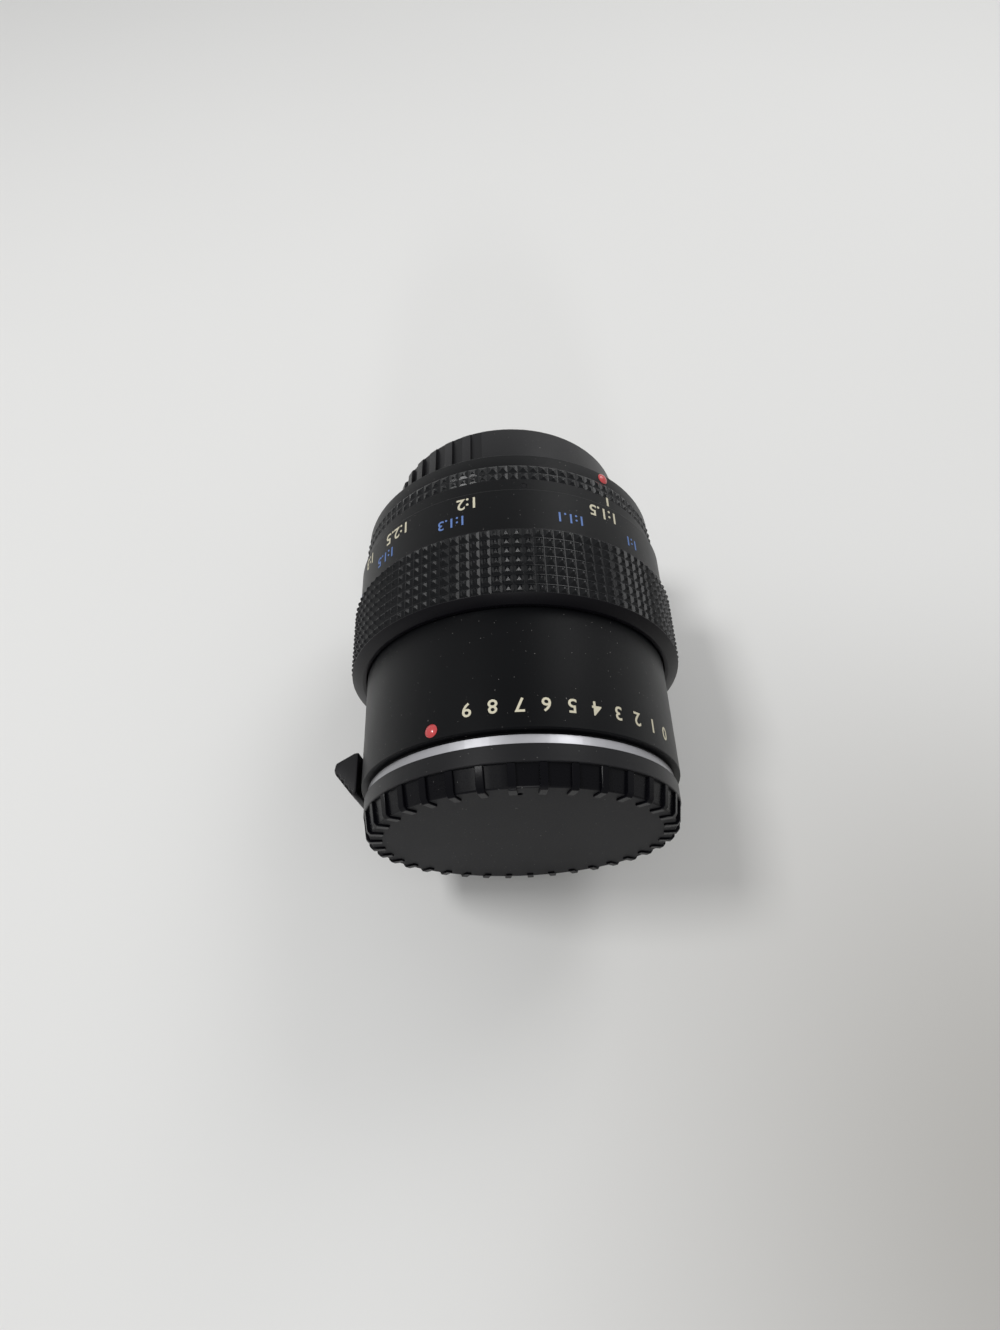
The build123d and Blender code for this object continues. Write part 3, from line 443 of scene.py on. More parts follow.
class Workshop:
    """Finishes by name, and the calls that turn meshes into pieces."""

    def __init__(self) -> None:
        """Make every finish once."""
        self.finishes: dict[str, Material] = {}
        for finish in (
            Satin("satin_enamel", (0.0019, 0.0021, 0.0026), 0.40, 0.09, 0.6),
            Satin("flat_black", (0.008, 0.008, 0.009), 0.62, 0.1, grain_depth=0.00005),
            Satin("cap_plastic", (0.005, 0.005, 0.006), 0.36, 0.3, 0.5, grain_scale=3200.0),
            # Painted sheen in part: the face colour is paler than the sides of the same moulding.
            MouldedCap("cap_moulding", (0.003, 0.003, 0.004), (0.010, 0.010, 0.011), -65.73),
            # Painted shade: the ribs take a darker, barely reflecting copy of the cap plastic in
            # place of the shade they reflect.
            Satin("cap_rib_painted_shade", (0.002, 0.002, 0.003), 0.22, 0.6, gloss=0.1, grain_scale=3200.0),
            Satin("lever_plastic", (0.004, 0.004, 0.005), 0.34, 0.35, 0.4, grain_scale=3500.0),
            Satin("lip_enamel", (0.0025, 0.0023, 0.0034), 0.30, 0.15),
            WornKnurl("ring_knurl", 33.0, 0.75, 0.16),
            WornKnurl("collar_knurl", 31.3, 0.4, 0.18),
            TurnedMetal("satin_chrome", (0.40, 0.40, 0.42), 0.24),
            TurnedMetal("spring_steel", (0.52, 0.53, 0.55), 0.28),
            TurnedMetal("screw_steel", (0.30, 0.30, 0.31), 0.34),
            TurnedMetal("brass", (0.62, 0.47, 0.22), 0.30),
            Gloss("red_bead", (0.52, 0.030, 0.035), 0.25, 0.5),
            Gloss("cream_ink", (0.62, 0.58, 0.44), 0.55, 0.0),
            Gloss("blue_ink", (0.10, 0.19, 0.46), 0.55, 0.0),
            CoatedGlass("coated_glass", (0.86, 0.93, 0.96)),
        ):
            self.finishes[finish.name] = finish.make()

    def piece(
        self,
        name: str,
        mesh: BMesh,
        finish: str,
        body: Body,
        slot: Slot,
        nodes: Sequence[str] = (),
        sharp: Smooth = Smooth.USUAL,
    ) -> Object:
        """Turn a finished bmesh into a piece of the object.

        Args:
            name: the piece's name.
            mesh: its closed mesh, in millimetres.
            finish: the name of its finish.
            body: the moving body that carries it.
            slot: the record's material slot; not used.
            nodes: CAD nodes that it stands for.
            sharp: edges that turn by more degrees than this stay sharp.

        Returns:
            The new object.
        """
        bmesh.ops.scale(mesh, vec=(MM, MM, MM), verts=mesh.verts)
        made = link_mesh(name, mesh)
        for polygon in made.data.polygons:
            polygon.use_smooth = True
        made.data.set_sharp_from_angle(angle=math.radians(sharp))
        made.data.materials.append(self.finishes[finish])
        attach(made, body.value)
        if nodes:
            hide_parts(*nodes)
        log.info("%s: %d faces on %s", name, len(made.data.polygons), body.value)
        return made

    def refined(
        self, node: str, finish: str, body: Body, slot: Slot, sharp: Smooth = Smooth.USUAL
    ) -> Object:
        """Stand a smoothly shaded copy in the place of a CAD node.

        Args:
            node: the CAD node.
            finish: the name of its finish.
            body: the moving body that carries it.
            slot: the record's material slot.
            sharp: edges that turn by more degrees than this stay sharp.

        Returns:
            The copy.
        """
        copy = bmesh.new()
        copy.from_mesh(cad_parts[node].data)
        bmesh.ops.scale(copy, vec=(1 / MM, 1 / MM, 1 / MM), verts=copy.verts)
        bmesh.ops.remove_doubles(copy, verts=copy.verts, dist=MERGE)
        return self.piece(f"{node}_finish", copy, finish, body, slot, (node,), sharp)

    def dress(self, finish: str, *nodes: str) -> None:
        """Give CAD nodes that stay a better material."""
        for node in nodes:
            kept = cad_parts[node]
            if not kept.material_slots:
                kept.data.materials.append(self.finishes[finish])
            for held in kept.material_slots:
                held.material = self.finishes[finish]
            log.info("%s: dressed", node)


class Mould:
    """Shapes made with bmesh operators, in millimetres."""

    point_shares: Outline = ((0.03, 0.0), (0.25, 0.4), (0.17, 0.6))
    seam: float = 0.01

    @staticmethod
    def lathe(outline: Outline, rounding: float = 0.12, steps: int = 192) -> BMesh:
        """Spin a closed outline round the optical axis.

        Args:
            outline: corners as (radius, y).
            rounding: radius at the corners.
            steps: divisions round the axis.

        Returns:
            A closed mesh.
        """
        mesh = bmesh.new()
        corners = [mesh.verts.new((radius, y, 0)) for radius, y in outline]
        mesh.faces.new(corners)
        off_axis = [corner for corner in corners if corner.co.x > TINY]
        if rounding:
            Mould.bevel(mesh, off_axis, rounding, "VERTICES")
        bmesh.ops.delete(mesh, geom=mesh.faces[:], context="FACES_ONLY")
        bmesh.ops.spin(
            mesh,
            geom=mesh.verts[:] + mesh.edges[:],
            cent=(0, 0, 0),
            axis=(0, 1, 0),
            angle=math.tau,
            steps=steps,
            use_merge=True,
        )
        bmesh.ops.remove_doubles(mesh, verts=mesh.verts, dist=TINY)
        Mould.tidy(mesh)
        return mesh

    @staticmethod
    def bevel(mesh: BMesh, geom: Sequence, width: float, affect: str, segments: int = 2) -> None:
        """Round points or edges of a mesh; affect is VERTICES or EDGES."""
        bmesh.ops.bevel(
            mesh,
            geom=geom,
            offset=width,
            offset_type="OFFSET",
            segments=segments,
            profile=0.5,
            affect=affect,
            clamp_overlap=True,
            material=-1,
        )

    @staticmethod
    def points(geom: Sequence) -> list[BMVert]:
        """Only the points of an operator's result."""
        return [item for item in geom if isinstance(item, BMVert)]

    @staticmethod
    def swing(mesh: BMesh, angle: float, verts: Sequence[BMVert]) -> None:
        """Turn points round the optical axis."""
        turn = Matrix.Rotation(math.radians(angle), 3, "Y")
        bmesh.ops.rotate(mesh, cent=(0, 0, 0), matrix=turn, verts=verts)

    @staticmethod
    def tidy(mesh: BMesh) -> None:
        """Drop faces of no area, loose edges and loose points; turn the faces outwards."""
        bmesh.ops.dissolve_degenerate(mesh, dist=TINY, edges=mesh.edges[:])
        bare = [edge for edge in mesh.edges if not edge.link_faces]
        bmesh.ops.delete(mesh, geom=bare, context="EDGES")
        loose = [vert for vert in mesh.verts if not vert.link_faces]
        bmesh.ops.delete(mesh, geom=loose, context="VERTS")
        bmesh.ops.recalc_face_normals(mesh, faces=mesh.faces[:])

    @staticmethod
    def knurl(
        columns: int, rows: int, tip: float, depth: float, inner: float, front: float, rear: float
    ) -> BMesh:
        """Ring of four-sided points: a flat grid with raised insets, bent into a ring.

        Args:
            columns: points round the ring.
            rows: points along it.
            tip: radius over the points.
            depth: height of the points.
            inner: radius of the bore.
            front: its end towards the lens.
            rear: its end towards the camera.

        Returns:
            A closed mesh.
        """
        root = tip - depth
        mesh = bmesh.new()
        bmesh.ops.create_grid(mesh, x_segments=columns, y_segments=rows, size=0.5)
        length = rear - front
        bmesh.ops.scale(mesh, vec=(math.tau * root, length, 1), verts=mesh.verts)
        cell = min(math.tau * root / columns, length / rows)
        cells = mesh.faces[:]
        for width_share, height_share in Mould.point_shares:
            bmesh.ops.inset_individual(
                mesh,
                faces=cells,
                thickness=cell * width_share,
                depth=depth * height_share,
                use_even_offset=True,
            )
        for vert in mesh.verts:
            turn = vert.co.x / root
            radius = root + abs(vert.co.z)
            along = (front + rear) / 2 + vert.co.y
            vert.co = Vector((radius * math.sin(turn), along, radius * math.cos(turn)))
        bmesh.ops.remove_doubles(mesh, verts=mesh.verts, dist=Mould.seam)
        rims = [edge for edge in mesh.edges if edge.is_boundary]
        walls = bmesh.ops.extrude_edge_only(mesh, edges=rims)["geom"]
        for vert in Mould.points(walls):
            share = inner / math.hypot(vert.co.x, vert.co.z)
            vert.co.x *= share
            vert.co.z *= share
        open_rims = [edge for edge in mesh.edges if edge.is_boundary]
        bmesh.ops.bridge_loops(mesh, edges=open_rims)
        Mould.tidy(mesh)
        return mesh

    @staticmethod
    def block(size: Sequence[float], place: Matrix, mesh: BMesh) -> None:
        """Add a block of this size, in this place, to a mesh."""
        bmesh.ops.create_cube(mesh, size=1, matrix=place @ Matrix.Diagonal((*size, 1)))

    @staticmethod
    def slab(outline: Outline, half_width: float, mesh: BMesh, angle: float = 0.0) -> None:
        """Add an upright plate to a mesh.

        Args:
            outline: its corners in order, as places along the axis and radii.
            half_width: half its thickness.
            mesh: the mesh that gains it.
            angle: where it stands round the axis.
        """
        corners = [mesh.verts.new((-half_width, y, radius)) for y, radius in outline]
        side = mesh.faces.new(corners)
        far = Mould.points(bmesh.ops.extrude_face_region(mesh, geom=[side])["geom"])
        bmesh.ops.translate(mesh, vec=(2 * half_width, 0, 0), verts=far)
        Mould.swing(mesh, angle, corners + far)
        bmesh.ops.recalc_face_normals(mesh, faces=mesh.faces[:])

    @staticmethod
    def stand(angle: float, radius: float, y: float) -> Matrix:
        """Place at an angle and radius: its Z points outwards, its Y along the axis."""
        turn = Matrix.Rotation(math.radians(angle), 4, "Y")
        return turn @ Matrix.Translation((0, y, radius))

    @staticmethod
    def rod(radius: float, length: float, place: Matrix, mesh: BMesh, sides: int = 32) -> None:
        """Add a rod along the place's Z to a mesh."""
        ends = {"radius1": radius, "radius2": radius, "cap_ends": True}
        bmesh.ops.create_cone(mesh, segments=sides, depth=length, matrix=place, **ends)

    @staticmethod
    def carve(body: BMesh, cutters: BMesh) -> BMesh:
        """Cut one mesh by another.

        Args:
            body: the mesh to cut.
            cutters: closed meshes to take away; freed here.

        Returns:
            What is left of the body.
        """
        held = [link_mesh("carved", body), link_mesh("cutters", cutters)]
        cut = held[0].modifiers.new("cut", "BOOLEAN")
        cut.operation = "DIFFERENCE"
        cut.solver = "EXACT"
        cut.object = held[1]
        bpy.context.view_layer.update()
        graph = bpy.context.evaluated_depsgraph_get()
        result = bmesh.new()
        result.from_mesh(held[0].evaluated_get(graph).to_mesh())
        for item in held:
            data = item.data
            bpy.data.objects.remove(item)
            bpy.data.meshes.remove(data)
        bmesh.ops.remove_doubles(result, verts=result.verts, dist=MERGE)
        Mould.tidy(result)
        return result

    @staticmethod
    def soften(mesh: BMesh, width: float, angle: float = 40.0, segments: int = 2) -> None:
        """Round the edges that turn by more than an angle.

        Args:
            mesh: the mesh to work on.
            width: width of the rounding.
            angle: least turn of an edge, in degrees.
            segments: divisions of the rounding.
        """
        edges = [
            edge
            for edge in mesh.edges
            if len(edge.link_faces) == 2 and edge.calc_face_angle(0) > math.radians(angle)
        ]
        Mould.bevel(mesh, edges, width, "EDGES", segments)


@dataclass
class Lettering:
    """Characters printed on a round surface: tops towards the lens, lines towards -X."""

    shop: Workshop
    body: Body
    slot: Slot
    radius: float
    rise: float = 0.03
    boldness: float = 0.012

    def line(self, name: str, text: str, angle: float, y: float, height: float, ink: str) -> Object:
        """Print one word.

        Args:
            name: the piece's name.
            text: the characters.
            angle: angle of its middle round the axis.
            y: place of its middle along the axis.
            height: height of the characters.
            ink: the finish.

        Returns:
            The printed piece.
        """
        curve = bpy.data.curves.new(name, "FONT")
        curve.body = text
        curve.extrude = 0.5
        curve.offset = self.boldness
        curve.resolution_u = 3
        holder = bpy.data.objects.new(f"{name}_curve", curve)
        data = bpy.data.meshes.new_from_object(holder)
        mesh = bmesh.new()
        mesh.from_mesh(data)
        bpy.data.objects.remove(holder)
        bpy.data.meshes.remove(data)
        bpy.data.curves.remove(curve)
        bmesh.ops.remove_doubles(mesh, verts=mesh.verts, dist=1e-4)
        low = [min(vert.co[axis] for vert in mesh.verts) for axis in range(3)]
        high = [max(vert.co[axis] for vert in mesh.verts) for axis in range(3)]
        scale = height / (high[1] - low[1])
        middle = [(low[axis] + high[axis]) / 2 for axis in range(3)]
        for vert in mesh.verts:
            across = (vert.co.x - middle[0]) * scale
            along = (vert.co.y - middle[1]) * scale
            share = (vert.co.z - low[2]) / (high[2] - low[2])
            out = self.radius - self.rise + 2 * self.rise * share
            turn = math.radians(angle) - across / self.radius
            vert.co = Vector((out * math.sin(turn), y - along, out * math.cos(turn)))
        Mould.tidy(mesh)
        return self.shop.piece(name, mesh, ink, self.body, self.slot)


@dataclass
class RearBody:
    """The fixed part: collar, camera bayonet, guide tube and optics."""

    shop: Workshop
    collar_radius: float = 31.2
    knurl_tip: float = 31.3
    knurl_depth: float = 0.4
    band_radius: float = 30.9
    lap: float = 0.12
    chamfer: float = 0.5
    step: float = 0.2
    front: float = -9.9
    knurl_front: float = -6.85
    knurl_rear: float = -3.1
    bore: float = 30.45
    neck_bore: float = 30.8
    pocket_radius: float = 28.58
    wall_front: float = -4.0
    plate: float = 1.6
    hole: float = 16.03
    columns: int = 102
    rows: int = 2
    screw_angles: tuple[float, ...] = (5.2, 125.2, 245.2)
    screw_y: float = -8.45
    screw_hole: tuple[float, float] = (0.56, 3.0)
    bead_angle: float = 37.3
    bead_y: float = -1.6
    index_angle: float = 37.5
    index_y: float = -7.75
    index_size: Triple = (0.5, 2.1, 0.07)

    def build(self) -> None:
        """Make the collar, its knurling and marks, and dress the rest."""
        core = self.knurl_tip - self.knurl_depth - self.lap
        neck = self.knurl_front - self.step
        outline = [
            (self.neck_bore, self.front),
            (self.collar_radius, self.front),
            (self.collar_radius, self.knurl_front),
            (core, self.knurl_front),
            (core, self.knurl_rear),
            (self.band_radius, self.knurl_rear),
            (self.band_radius, -self.chamfer),
            (self.band_radius - self.chamfer, 0),
            (self.pocket_radius, 0),
            (self.pocket_radius, -self.plate),
            (self.hole, -self.plate),
            (self.hole, self.wall_front),
            (self.bore, self.wall_front),
            (self.bore, neck),
            (self.neck_bore, neck),
        ]
        shell = Mould.lathe(outline, rounding=0.06)
        cutters = bmesh.new()
        for angle in self.screw_angles:
            place = Mould.stand(angle, self.collar_radius, self.screw_y)
            Mould.rod(*self.screw_hole, place, cutters, 20)
        place = Mould.stand(self.bead_angle, self.band_radius, self.bead_y)
        Mould.rod(*BEAD_SEAT, place, cutters)
        shell = Mould.carve(shell, cutters)
        self.shop.piece(
            "collar_shell", shell, "satin_enamel", Body.REAR, Slot.ENAMEL, ("rear_collar",)
        )
        grid = (self.columns, self.rows, self.knurl_tip, self.knurl_depth)
        knurl = Mould.knurl(*grid, core, self.knurl_front, self.knurl_rear)
        self.shop.piece(
            "collar_knurling", knurl, "collar_knurl", Body.REAR, Slot.ENAMEL, sharp=Smooth.KNURL
        )
        mark = bmesh.new()
        place = Mould.stand(self.index_angle, self.collar_radius, self.index_y)
        Mould.block(self.index_size, place, mark)
        Mould.soften(mark, 0.02)
        self.shop.piece("index_line", mark, "cream_ink", Body.REAR, Slot.ENAMEL)
        self.shop.refined("rear_index_bead", "red_bead", Body.REAR, Slot.BEAD)
        self.shop.refined("rear_mount_plate", "satin_chrome", Body.REAR, Slot.CHROME, Smooth.PLATE)
        for node in ("front_element", "inner_element", "rear_element"):
            self.shop.refined(node, "coated_glass", Body.REAR, Slot.GLASS)
        for node in ("optics_barrel", "rear_mask"):
            self.shop.refined(node, "flat_black", Body.REAR, Slot.FLAT_BLACK)
        self.shop.dress("flat_black", "guide_tube", "optics_nut", "element_spacer")
        self.shop.dress("flat_black", "front_lens_ring", "rear_stop_ring", "collar_set_screws")
        self.shop.dress("screw_steel", "rear_mount_screws", "guide_screws")


@dataclass
class FocusingRing:
    """The ring that is turned by hand: sleeve, knurled grip, lip and scale."""

    shop: Workshop
    tip: float = 33.0
    depth: float = 0.72
    seat: float = 31.63
    columns: int = 108
    rows: int = 7
    front: float = -33.35
    knurl_rear: float = -19.45
    rear: float = -10.05
    scale_radius: float = 32.0
    neck_radius: float = 30.7
    neck_rear: float = -7.2
    bore: float = 30.2
    lip_front: float = -34.4
    lip_bore: float = 30.0
    lip_edge: float = 30.7
    lip_wall: float = 0.4
    lip_land: float = 0.12
    lip_inset: float = 0.2
    cream_y: float = -12.3
    blue_y: float = -15.95
    cream_height: float = 2.55
    blue_height: float = 2.15
    zero_angle: float = -156.9
    per_unit: float = 285.0
    close_shift: float = 0.288
    cream_marks: tuple[float, ...] = (1.5, 2, 2.5, 3, 4, 6, 10)
    blue_marks: tuple[float, ...] = (1, 1.1, 1.3, 1.5, 1.8, 2, 2.5, 3)

    def build(self) -> None:
        """Make the ring's pieces."""
        outline = [
            (self.bore, self.front),
            (self.seat, self.front),
            (self.seat, self.knurl_rear),
            (self.scale_radius, self.knurl_rear),
            (self.scale_radius, self.rear),
            (self.neck_radius, self.rear),
            (self.neck_radius, self.neck_rear),
            (self.bore, self.neck_rear),
        ]
        sleeve = Mould.lathe(outline, rounding=0.15)
        self.shop.piece(
            "ring_sleeve", sleeve, "satin_enamel", Body.RING, Slot.ENAMEL, ("focus_sleeve",)
        )
        grip = Mould.knurl(
            self.columns, self.rows, self.tip, self.depth, self.seat, self.front, self.knurl_rear
        )
        self.shop.piece(
            "ring_grip", grip, "ring_knurl", Body.RING, Slot.ANODISED, ("focus_grip",), Smooth.KNURL
        )
        lip_back = self.lip_front + self.lip_wall
        outline = [
            (self.lip_bore, self.lip_front),
            (self.lip_edge, self.lip_front),
            (self.tip - self.lip_inset, self.front - self.lip_land),
            (self.tip - self.lip_inset, self.front),
            (self.bore, self.front),
            (self.bore, lip_back),
            (self.lip_bore, lip_back),
        ]
        lip = Mould.lathe(outline, rounding=0.05)
        self.shop.piece(
            "ring_lip", lip, "lip_enamel", Body.RING, Slot.ENAMEL, ("lip_ring",), Smooth.SOFT
        )
        letters = Lettering(self.shop, Body.RING, Slot.ENAMEL, self.scale_radius)
        rows = (
            ("cream", self.cream_marks, self.cream_y, self.cream_height, 0.0, "cream_ink"),
            ("blue", self.blue_marks, self.blue_y, self.blue_height, self.close_shift, "blue_ink"),
        )
        for label, marks, y, height, shift, ink in rows:
            for mark in marks:
                words = f"1:{mark:g}"
                angle = self.zero_angle + (1 / mark - shift) * self.per_unit
                name = f"{label}_mark_{words.replace(':', '_').replace('.', '-')}"
                letters.line(name, words, angle, y, height, ink)


@dataclass
class FrontBarrel:
    """The sliding barrel: tube, lens bayonet, index bead and its inner parts."""

    shop: Workshop
    radius: float = 29.75
    front: float = -56.7
    rear: float = -16.73
    band: float = 30.15
    band_length: float = 6.5
    bore: float = 28.6
    wall_back: float = -51.8
    pocket_front: float = -53.6
    pocket_radius: float = 24.6
    wall_bore: float = 23.9
    neck: float = 28.1
    plate_back: float = -57.3
    bead_angle: float = -28.8
    bead_y: float = -55.0
    release_angle: float = -95.0
    window_y: float = -49.1
    window: Triple = (5.3, 3.3, 6.0)
    print_y: float = -52.75
    print_height: float = 2.5
    print_start: float = -16.5
    print_step: float = 8.2
    numerals: str = "0123456789"

    def build(self) -> None:
        """Make the tube and its print, and dress what it carries."""
        outline = [
            (self.wall_bore, self.plate_back),
            (self.neck, self.plate_back),
            (self.neck, self.front),
            (self.radius, self.front),
            (self.radius, self.rear - self.band_length),
            (self.band, self.rear - self.band_length),
            (self.band, self.rear),
            (self.bore, self.rear),
            (self.bore, self.wall_back),
            (self.pocket_radius, self.wall_back),
            (self.pocket_radius, self.pocket_front),
            (self.wall_bore, self.pocket_front),
        ]
        tube = Mould.lathe(outline, rounding=0.16, steps=256)
        cutters = bmesh.new()
        place = Mould.stand(self.bead_angle, self.radius, self.bead_y)
        Mould.rod(*BEAD_SEAT, place, cutters)
        place = Mould.stand(self.release_angle, self.radius, self.window_y)
        Mould.block(self.window, place, cutters)
        tube = Mould.carve(tube, cutters)
        self.shop.piece(
            "barrel_tube", tube, "satin_enamel", Body.BARREL, Slot.ENAMEL, ("front_tube",)
        )
        letters = Lettering(self.shop, Body.BARREL, Slot.ENAMEL, self.radius)
        for step, words in enumerate(reversed(self.numerals)):
            angle = self.print_start + self.print_step * step
            name = f"barrel_number_{words}"
            letters.line(name, words, angle, self.print_y, self.print_height, "cream_ink")
        self.shop.refined("front_index_bead", "red_bead", Body.BARREL, Slot.BEAD)
        self.shop.refined("bayonet_plate", "satin_chrome", Body.BARREL, Slot.CHROME, Smooth.PLATE)
        self.shop.dress("screw_steel", "bayonet_screws")
        self.shop.dress("spring_steel", "bayonet_springs", "lock_spring")
        self.shop.dress("brass", "guide_keys")
        self.shop.dress("flat_black", "front_baffle", "front_stop_ring")


@dataclass
class LensRelease:
    """The lever beside the lens bayonet, with its lock pin."""

    shop: Workshop
    angle: float = -95.0
    foot: float = 30.25
    top: float = 34.9
    rear: float = -48.35
    nose: float = -56.9
    half_width: float = 5.7
    grooves: int = 4
    groove_radius: float = 0.5
    stem_y: float = -49.75
    stem: tuple[float, float] = (5.0, 1.7)
    stem_foot: float = 26.0
    stem_lap: float = 0.4
    heel: float = 0.9

    def build(self) -> None:
        """Make the lever with its rounded serrations."""
        # Up the rear wall, over the top, down the serrated slope and under the nose.
        outline = (
            (self.rear, self.foot),
            (self.rear - 0.1, self.foot + self.heel),
            (self.rear - 2.0, self.top - 0.25),
            (self.rear - 3.4, self.top),
            (self.rear - 4.2, self.top - 0.3),
            (self.nose, self.foot + self.heel),
            (self.nose + 0.5, self.foot),
        )
        mesh = bmesh.new()
        Mould.slab(outline, self.half_width, mesh)
        Mould.soften(mesh, 0.35, 20.0, 3)
        cutters = bmesh.new()
        high, low = (Vector((0, *corner)) for corner in outline[4:6])
        across = Matrix.Rotation(math.radians(90), 4, "Y")
        outward = Vector((0, -(high - low).z, (high - low).y)).normalized()
        for step in range(self.grooves):
            share = (step + 0.5) / self.grooves
            centre = high.lerp(low, share) - outward * self.groove_radius / 2
            place = Matrix.Translation(centre) @ across
            Mould.rod(self.groove_radius, 3 * self.half_width, place, cutters, 16)
        mesh = Mould.carve(mesh, cutters)
        stem_top = self.foot + self.stem_lap
        place = Matrix.Translation((0, self.stem_y, (stem_top + self.stem_foot) / 2))
        stem = bmesh.new()
        Mould.block((*self.stem, stem_top - self.stem_foot), place, stem)
        Mould.soften(stem, 0.1)
        for part, name, nodes in (
            (mesh, "lever_block", ("release_lever",)),
            (stem, "lever_stem", ()),
        ):
            Mould.swing(part, self.angle, part.verts)
            self.shop.piece(name, part, "lever_plastic", Body.RELEASE, Slot.LEVER, nodes)
        self.shop.refined("lock_pin", "satin_chrome", Body.RELEASE, Slot.CHROME)


@dataclass
class FrontCap:
    """Body cap on the lens bayonet: smooth flange, flat panels between ribs, plain skirt."""

    shop: Workshop
    seat: float = -58.93
    flange: float = 3.1
    length: float = 7.2
    flange_radius: float = 29.1
    facet_radius: float = 29.0
    face_radius: float = 28.35
    facets: int = 36
    first_rib: float = -3.6
    rib_width: float = 1.3
    rib_reach: float = 2.8
    rise: float = 0.4
    drop: float = 0.45
    chamfer: float = 0.25
    wall: float = 1.8
    thick: float = 1.2
    shoulder: float = 27.2
    hollow: float = 24.2
    lap: float = 0.6
    skirt: float = 21.8
    skirt_wall: float = 1.4
    skirt_rear: float = -54.9
    pip: tuple[float, float] = (0.55, 0.8)
    pip_angle: float = -1.5
    pip_radius: float = 25.0

    def build(self) -> None:
        """Make the faceted body, the flange and the skirt."""
        face = self.seat - self.length
        rib = self.seat - self.flange
        rim = self.face_radius - self.drop
        floor = face + self.wall + self.thick
        outline = [
            (0, face + self.rise),
            (rim - self.chamfer, face + self.rise),
            (rim, face + self.rise + self.chamfer),
            (self.facet_radius - self.drop, rib),
            (self.shoulder, rib),
            (self.shoulder, rib + self.lap),
            (self.hollow, rib + self.lap),
            (self.hollow, floor),
            (self.skirt, floor),
            (self.skirt, self.skirt_rear),
            (self.skirt - self.skirt_wall, self.skirt_rear),
            (self.skirt - self.skirt_wall, face + self.wall),
            (0, face + self.wall),
        ]
        body = Mould.lathe(outline, rounding=0.0, steps=self.facets * 4)
        for vert in body.verts:
            radius = math.hypot(vert.co.x, vert.co.z)
            if radius > self.shoulder + self.chamfer and vert.co.y <= rib + MERGE:
                flat = math.tau / self.facets
                turn = math.atan2(vert.co.x, vert.co.z) - math.radians(self.first_rib)
                offset = (turn % flat) - flat / 2
                share = math.cos(flat / 2) / math.cos(offset)
                vert.co.x *= share
                vert.co.z *= share
        ribs = bmesh.new()
        reach = self.face_radius - self.rib_reach
        # From the flange along the wall, in across the face and back under the surface.
        profile = (
            (rib, self.facet_radius - 1.0),
            (rib, self.facet_radius),
            (face + 0.6, self.face_radius + 0.1),
            (face, self.face_radius - 0.5),
            (face, reach),
            (face + 0.8, reach),
            (face + 0.8, self.face_radius - 1.2),
        )
        for step in range(self.facets):
            Mould.slab(profile, self.rib_width / 2, ribs, self.first_rib + step * 360 / self.facets)
        Mould.soften(ribs, 0.1, 30.0, 1)
        # The ribs wear the darker copy of the cap plastic that paints their shade.
        self.shop.piece("cap_ribs", ribs, "cap_rib_painted_shade", Body.FRONT_CAP, Slot.CAP)
        pip = bmesh.new()
        place = Mould.stand(self.pip_angle, self.pip_radius, face + self.rise)
        Mould.rod(*self.pip, place @ Matrix.Rotation(math.radians(90), 4, "X"), pip, 20)
        body = Mould.carve(body, pip)
        self.shop.piece(
            "cap_body", body, "cap_moulding", Body.FRONT_CAP, Slot.CAP, ("front_cap",), Smooth.SOFT
        )
        outline = [
            (self.shoulder, rib),
            (self.flange_radius, rib),
            (self.flange_radius, self.seat),
            (self.hollow, self.seat),
            (self.hollow, rib + self.lap),
            (self.shoulder, rib + self.lap),
        ]
        band = Mould.lathe(outline, rounding=0.18)
        self.shop.piece("cap_flange", band, "cap_plastic", Body.FRONT_CAP, Slot.CAP)


@dataclass
class RearCap:
    """Lens cap on the camera bayonet: a cup with two ribbed grips."""

    shop: Workshop
    base: float = 0.03
    length: float = 13.8
    radius: float = 25.3
    top_radius: float = 24.9
    edge: float = 1.0
    bore: float = 23.25
    step: float = 0.6
    step_y: float = 6.0
    wall: float = 1.5
    groove: tuple[float, float] = (2.4, 1.1)
    groove_start: float = 1.0
    pitch: float = 9.6
    grooves: int = 11
    middles: tuple[float, ...] = (-62.0, 118.0)

    def build(self) -> None:
        """Make the cup and cut its grips."""
        outline = [
            (self.bore, self.base),
            (self.radius, self.base),
            (self.top_radius, self.length - self.edge),
            (self.top_radius - self.edge, self.length),
            (0, self.length),
            (0, self.length - self.wall),
            (self.bore - self.step, self.length - self.wall),
            (self.bore - self.step, self.step_y),
            (self.bore, self.step_y),
        ]
        cup = Mould.lathe(outline, rounding=0.3)
        cutters = bmesh.new()
        wide, deep = self.groove
        for middle in self.middles:
            for step in range(self.grooves):
                angle = middle + (step - (self.grooves - 1) / 2) * self.pitch
                middle_y = self.groove_start + self.length / 2
                place = Mould.stand(angle, self.radius + (1 - deep) / 2, middle_y)
                Mould.block((wide, self.length, deep + 1), place, cutters)
        cup = Mould.carve(cup, cutters)
        self.shop.piece("rear_cap_cup", cup, "cap_plastic", Body.REAR_CAP, Slot.CAP, ("rear_cap",))


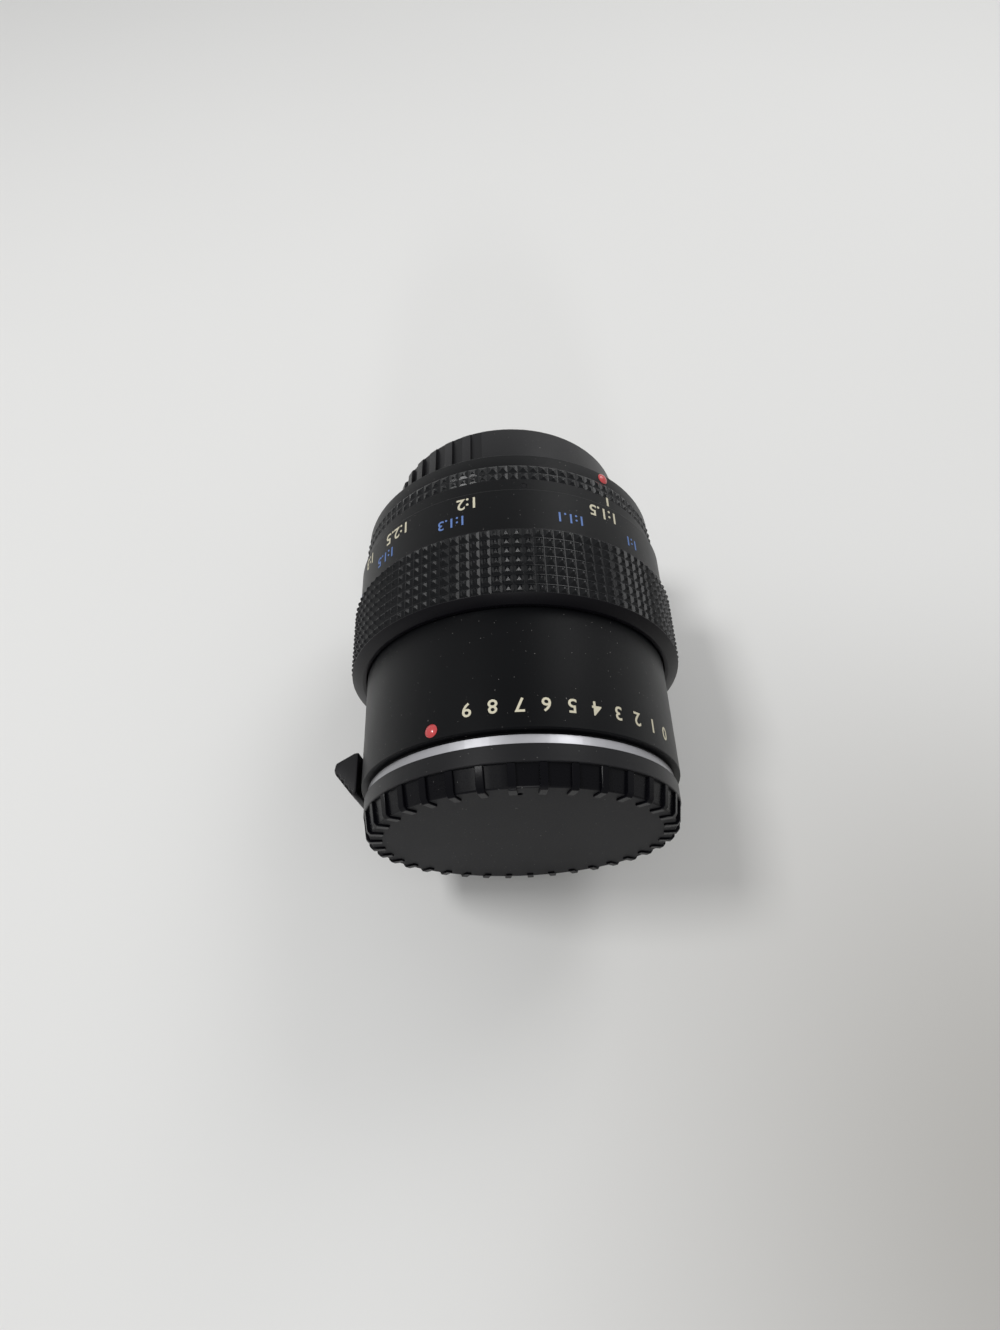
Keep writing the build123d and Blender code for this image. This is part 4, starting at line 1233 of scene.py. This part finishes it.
@dataclass
class Studio:
    """Pale table with a painted shade towards its +X, -Y corner, soft lamps and the camera at the
    photograph's angle.

    Camera and table height are in millimetres, the other lengths in metres.
    """

    camera_place: Triple = (-2.46, -104.0, 134.2)
    elevation: float = 60.74
    yaw: float = -0.4
    roll: float = 2.7
    lens: float = 20.03
    table: float = -33.05
    table_half: float = 1.5
    table_colour: Triple = (0.76, 0.76, 0.75)
    # Painted shade: the paper takes this darker colour towards its +X, -Y corner.
    painted_shade_colour: Triple = (0.43, 0.42, 0.40)
    painted_shade_x: tuple[float, float] = (-0.04, 0.11)
    painted_shade_y: tuple[float, float] = (0.03, -0.14)
    backdrop: float = 0.86
    ambient: float = 0.45
    lamps: tuple[tuple[Triple, float, float], ...] = (
        ((-0.343, 0.016, 0.632), 0.14, 2.1),
        ((0.02, -0.83, 0.31), 0.10, 1.2),
        ((0.35, 0.38, 0.50), 0.30, 1.3),
    )
    aim: Triple = (0.0, -0.026, 0.0)

    def build(self) -> None:
        """Set up everything that isn't the object."""
        self._table()
        self._world()
        for number, (place, size, watts) in enumerate(self.lamps):
            self._lamp(f"softbox_{number}", Vector(place), size, watts)
        self._camera()
        bpy.context.scene.view_settings.view_transform = "Standard"

    def _table(self) -> None:
        """Lay the floor, with a painted shade that darkens it towards +X and -Y."""
        mesh = bmesh.new()
        bmesh.ops.create_grid(mesh, x_segments=8, y_segments=8, size=self.table_half)
        bmesh.ops.translate(mesh, vec=(0, 0, self.table * MM), verts=mesh.verts)
        floor = link_mesh("table", mesh)
        paint = Paint("table_paper")
        cloud = paint.noise(6.0, 3.0)
        # Painted shade: these two ramps darken the paper towards +X and -Y.
        across = paint.ramp(paint.axis("X"), *self.painted_shade_x)
        along = paint.ramp(paint.axis("Y"), *self.painted_shade_y)
        darker = tuple(part * 0.97 for part in self.table_colour)
        near = paint.mix(cloud, self.table_colour, darker)
        paint.feed("Base Color", paint.mix(across * along, near, self.painted_shade_colour))
        paint.feed("Roughness", 0.8)
        floor.data.materials.append(paint.material)

    def _world(self) -> None:
        """Soft room light; the camera, reflections and glass see a pale backdrop."""
        world = bpy.data.worlds.new("room")
        bpy.context.scene.world = world
        world.use_nodes = True
        graph = Graph(world.node_tree)
        rays = graph.tree.nodes.new("ShaderNodeLightPath").outputs
        camera, glossy, through = (
            Term(graph, rays[name])
            for name in ("Is Camera Ray", "Is Glossy Ray", "Is Transmission Ray")
        )
        room, pale = (
            graph.node("ShaderNodeBackground", {}, {"Color": (1, 1, 1, 1), "Strength": strength})
            for strength in (self.ambient, self.backdrop)
        )
        seen = {0: camera | glossy | through, 1: room, 2: pale}
        mixed = graph.node("ShaderNodeMixShader", {}, seen)
        graph.close("ShaderNodeOutputWorld", mixed.socket)

    def _lamp(self, name: str, place: Vector, size: float, watts: float) -> None:
        """Hang one square softbox that faces the object.

        Args:
            name: the lamp's name.
            place: where it hangs, in metres.
            size: its side.
            watts: its power.
        """
        data = bpy.data.lights.new(name, "AREA")
        data.shape = "SQUARE"
        data.size = size
        data.energy = watts
        lamp = link_object(name, data)
        lamp.location = place
        lamp.rotation_mode = "QUATERNION"
        lamp.rotation_quaternion = (Vector(self.aim) - place).to_track_quat("-Z", "Y")

    def _camera(self) -> None:
        """Place the camera."""
        data = bpy.data.cameras.new("photo_camera")
        data.lens = self.lens
        data.sensor_width = 36.0
        data.clip_start = 0.005
        camera = link_object("photo_camera", data)
        bpy.context.scene.camera = camera
        tilt, turn, lean = (math.radians(part) for part in (self.elevation, self.yaw, self.roll))
        level = math.cos(tilt)
        ahead = Vector((level * math.sin(turn), level * math.cos(turn), -math.sin(tilt)))
        right = ahead.cross(Vector((0, 0, 1))).normalized()
        down = ahead.cross(right)
        column_x = right * math.cos(lean) + down * math.sin(lean)
        column_y = right * math.sin(lean) - down * math.cos(lean)
        turn_matrix = Matrix((column_x, column_y, -ahead)).transposed()
        camera.rotation_mode = "QUATERNION"
        camera.rotation_quaternion = turn_matrix.to_quaternion()
        camera.location = Vector(self.camera_place) * MM


def main() -> None:
    """Build every sub-assembly in order, then the studio."""
    logging.basicConfig(level=logging.INFO, format="%(name)s: %(message)s")
    shop = Workshop()
    for part in (
        RearBody(shop),
        FocusingRing(shop),
        FrontBarrel(shop),
        LensRelease(shop),
        FrontCap(shop),
        RearCap(shop),
    ):
        log.info("building %s", type(part).__name__)
        part.build()
    Studio().build()


if __name__ == "__main__":
    main()
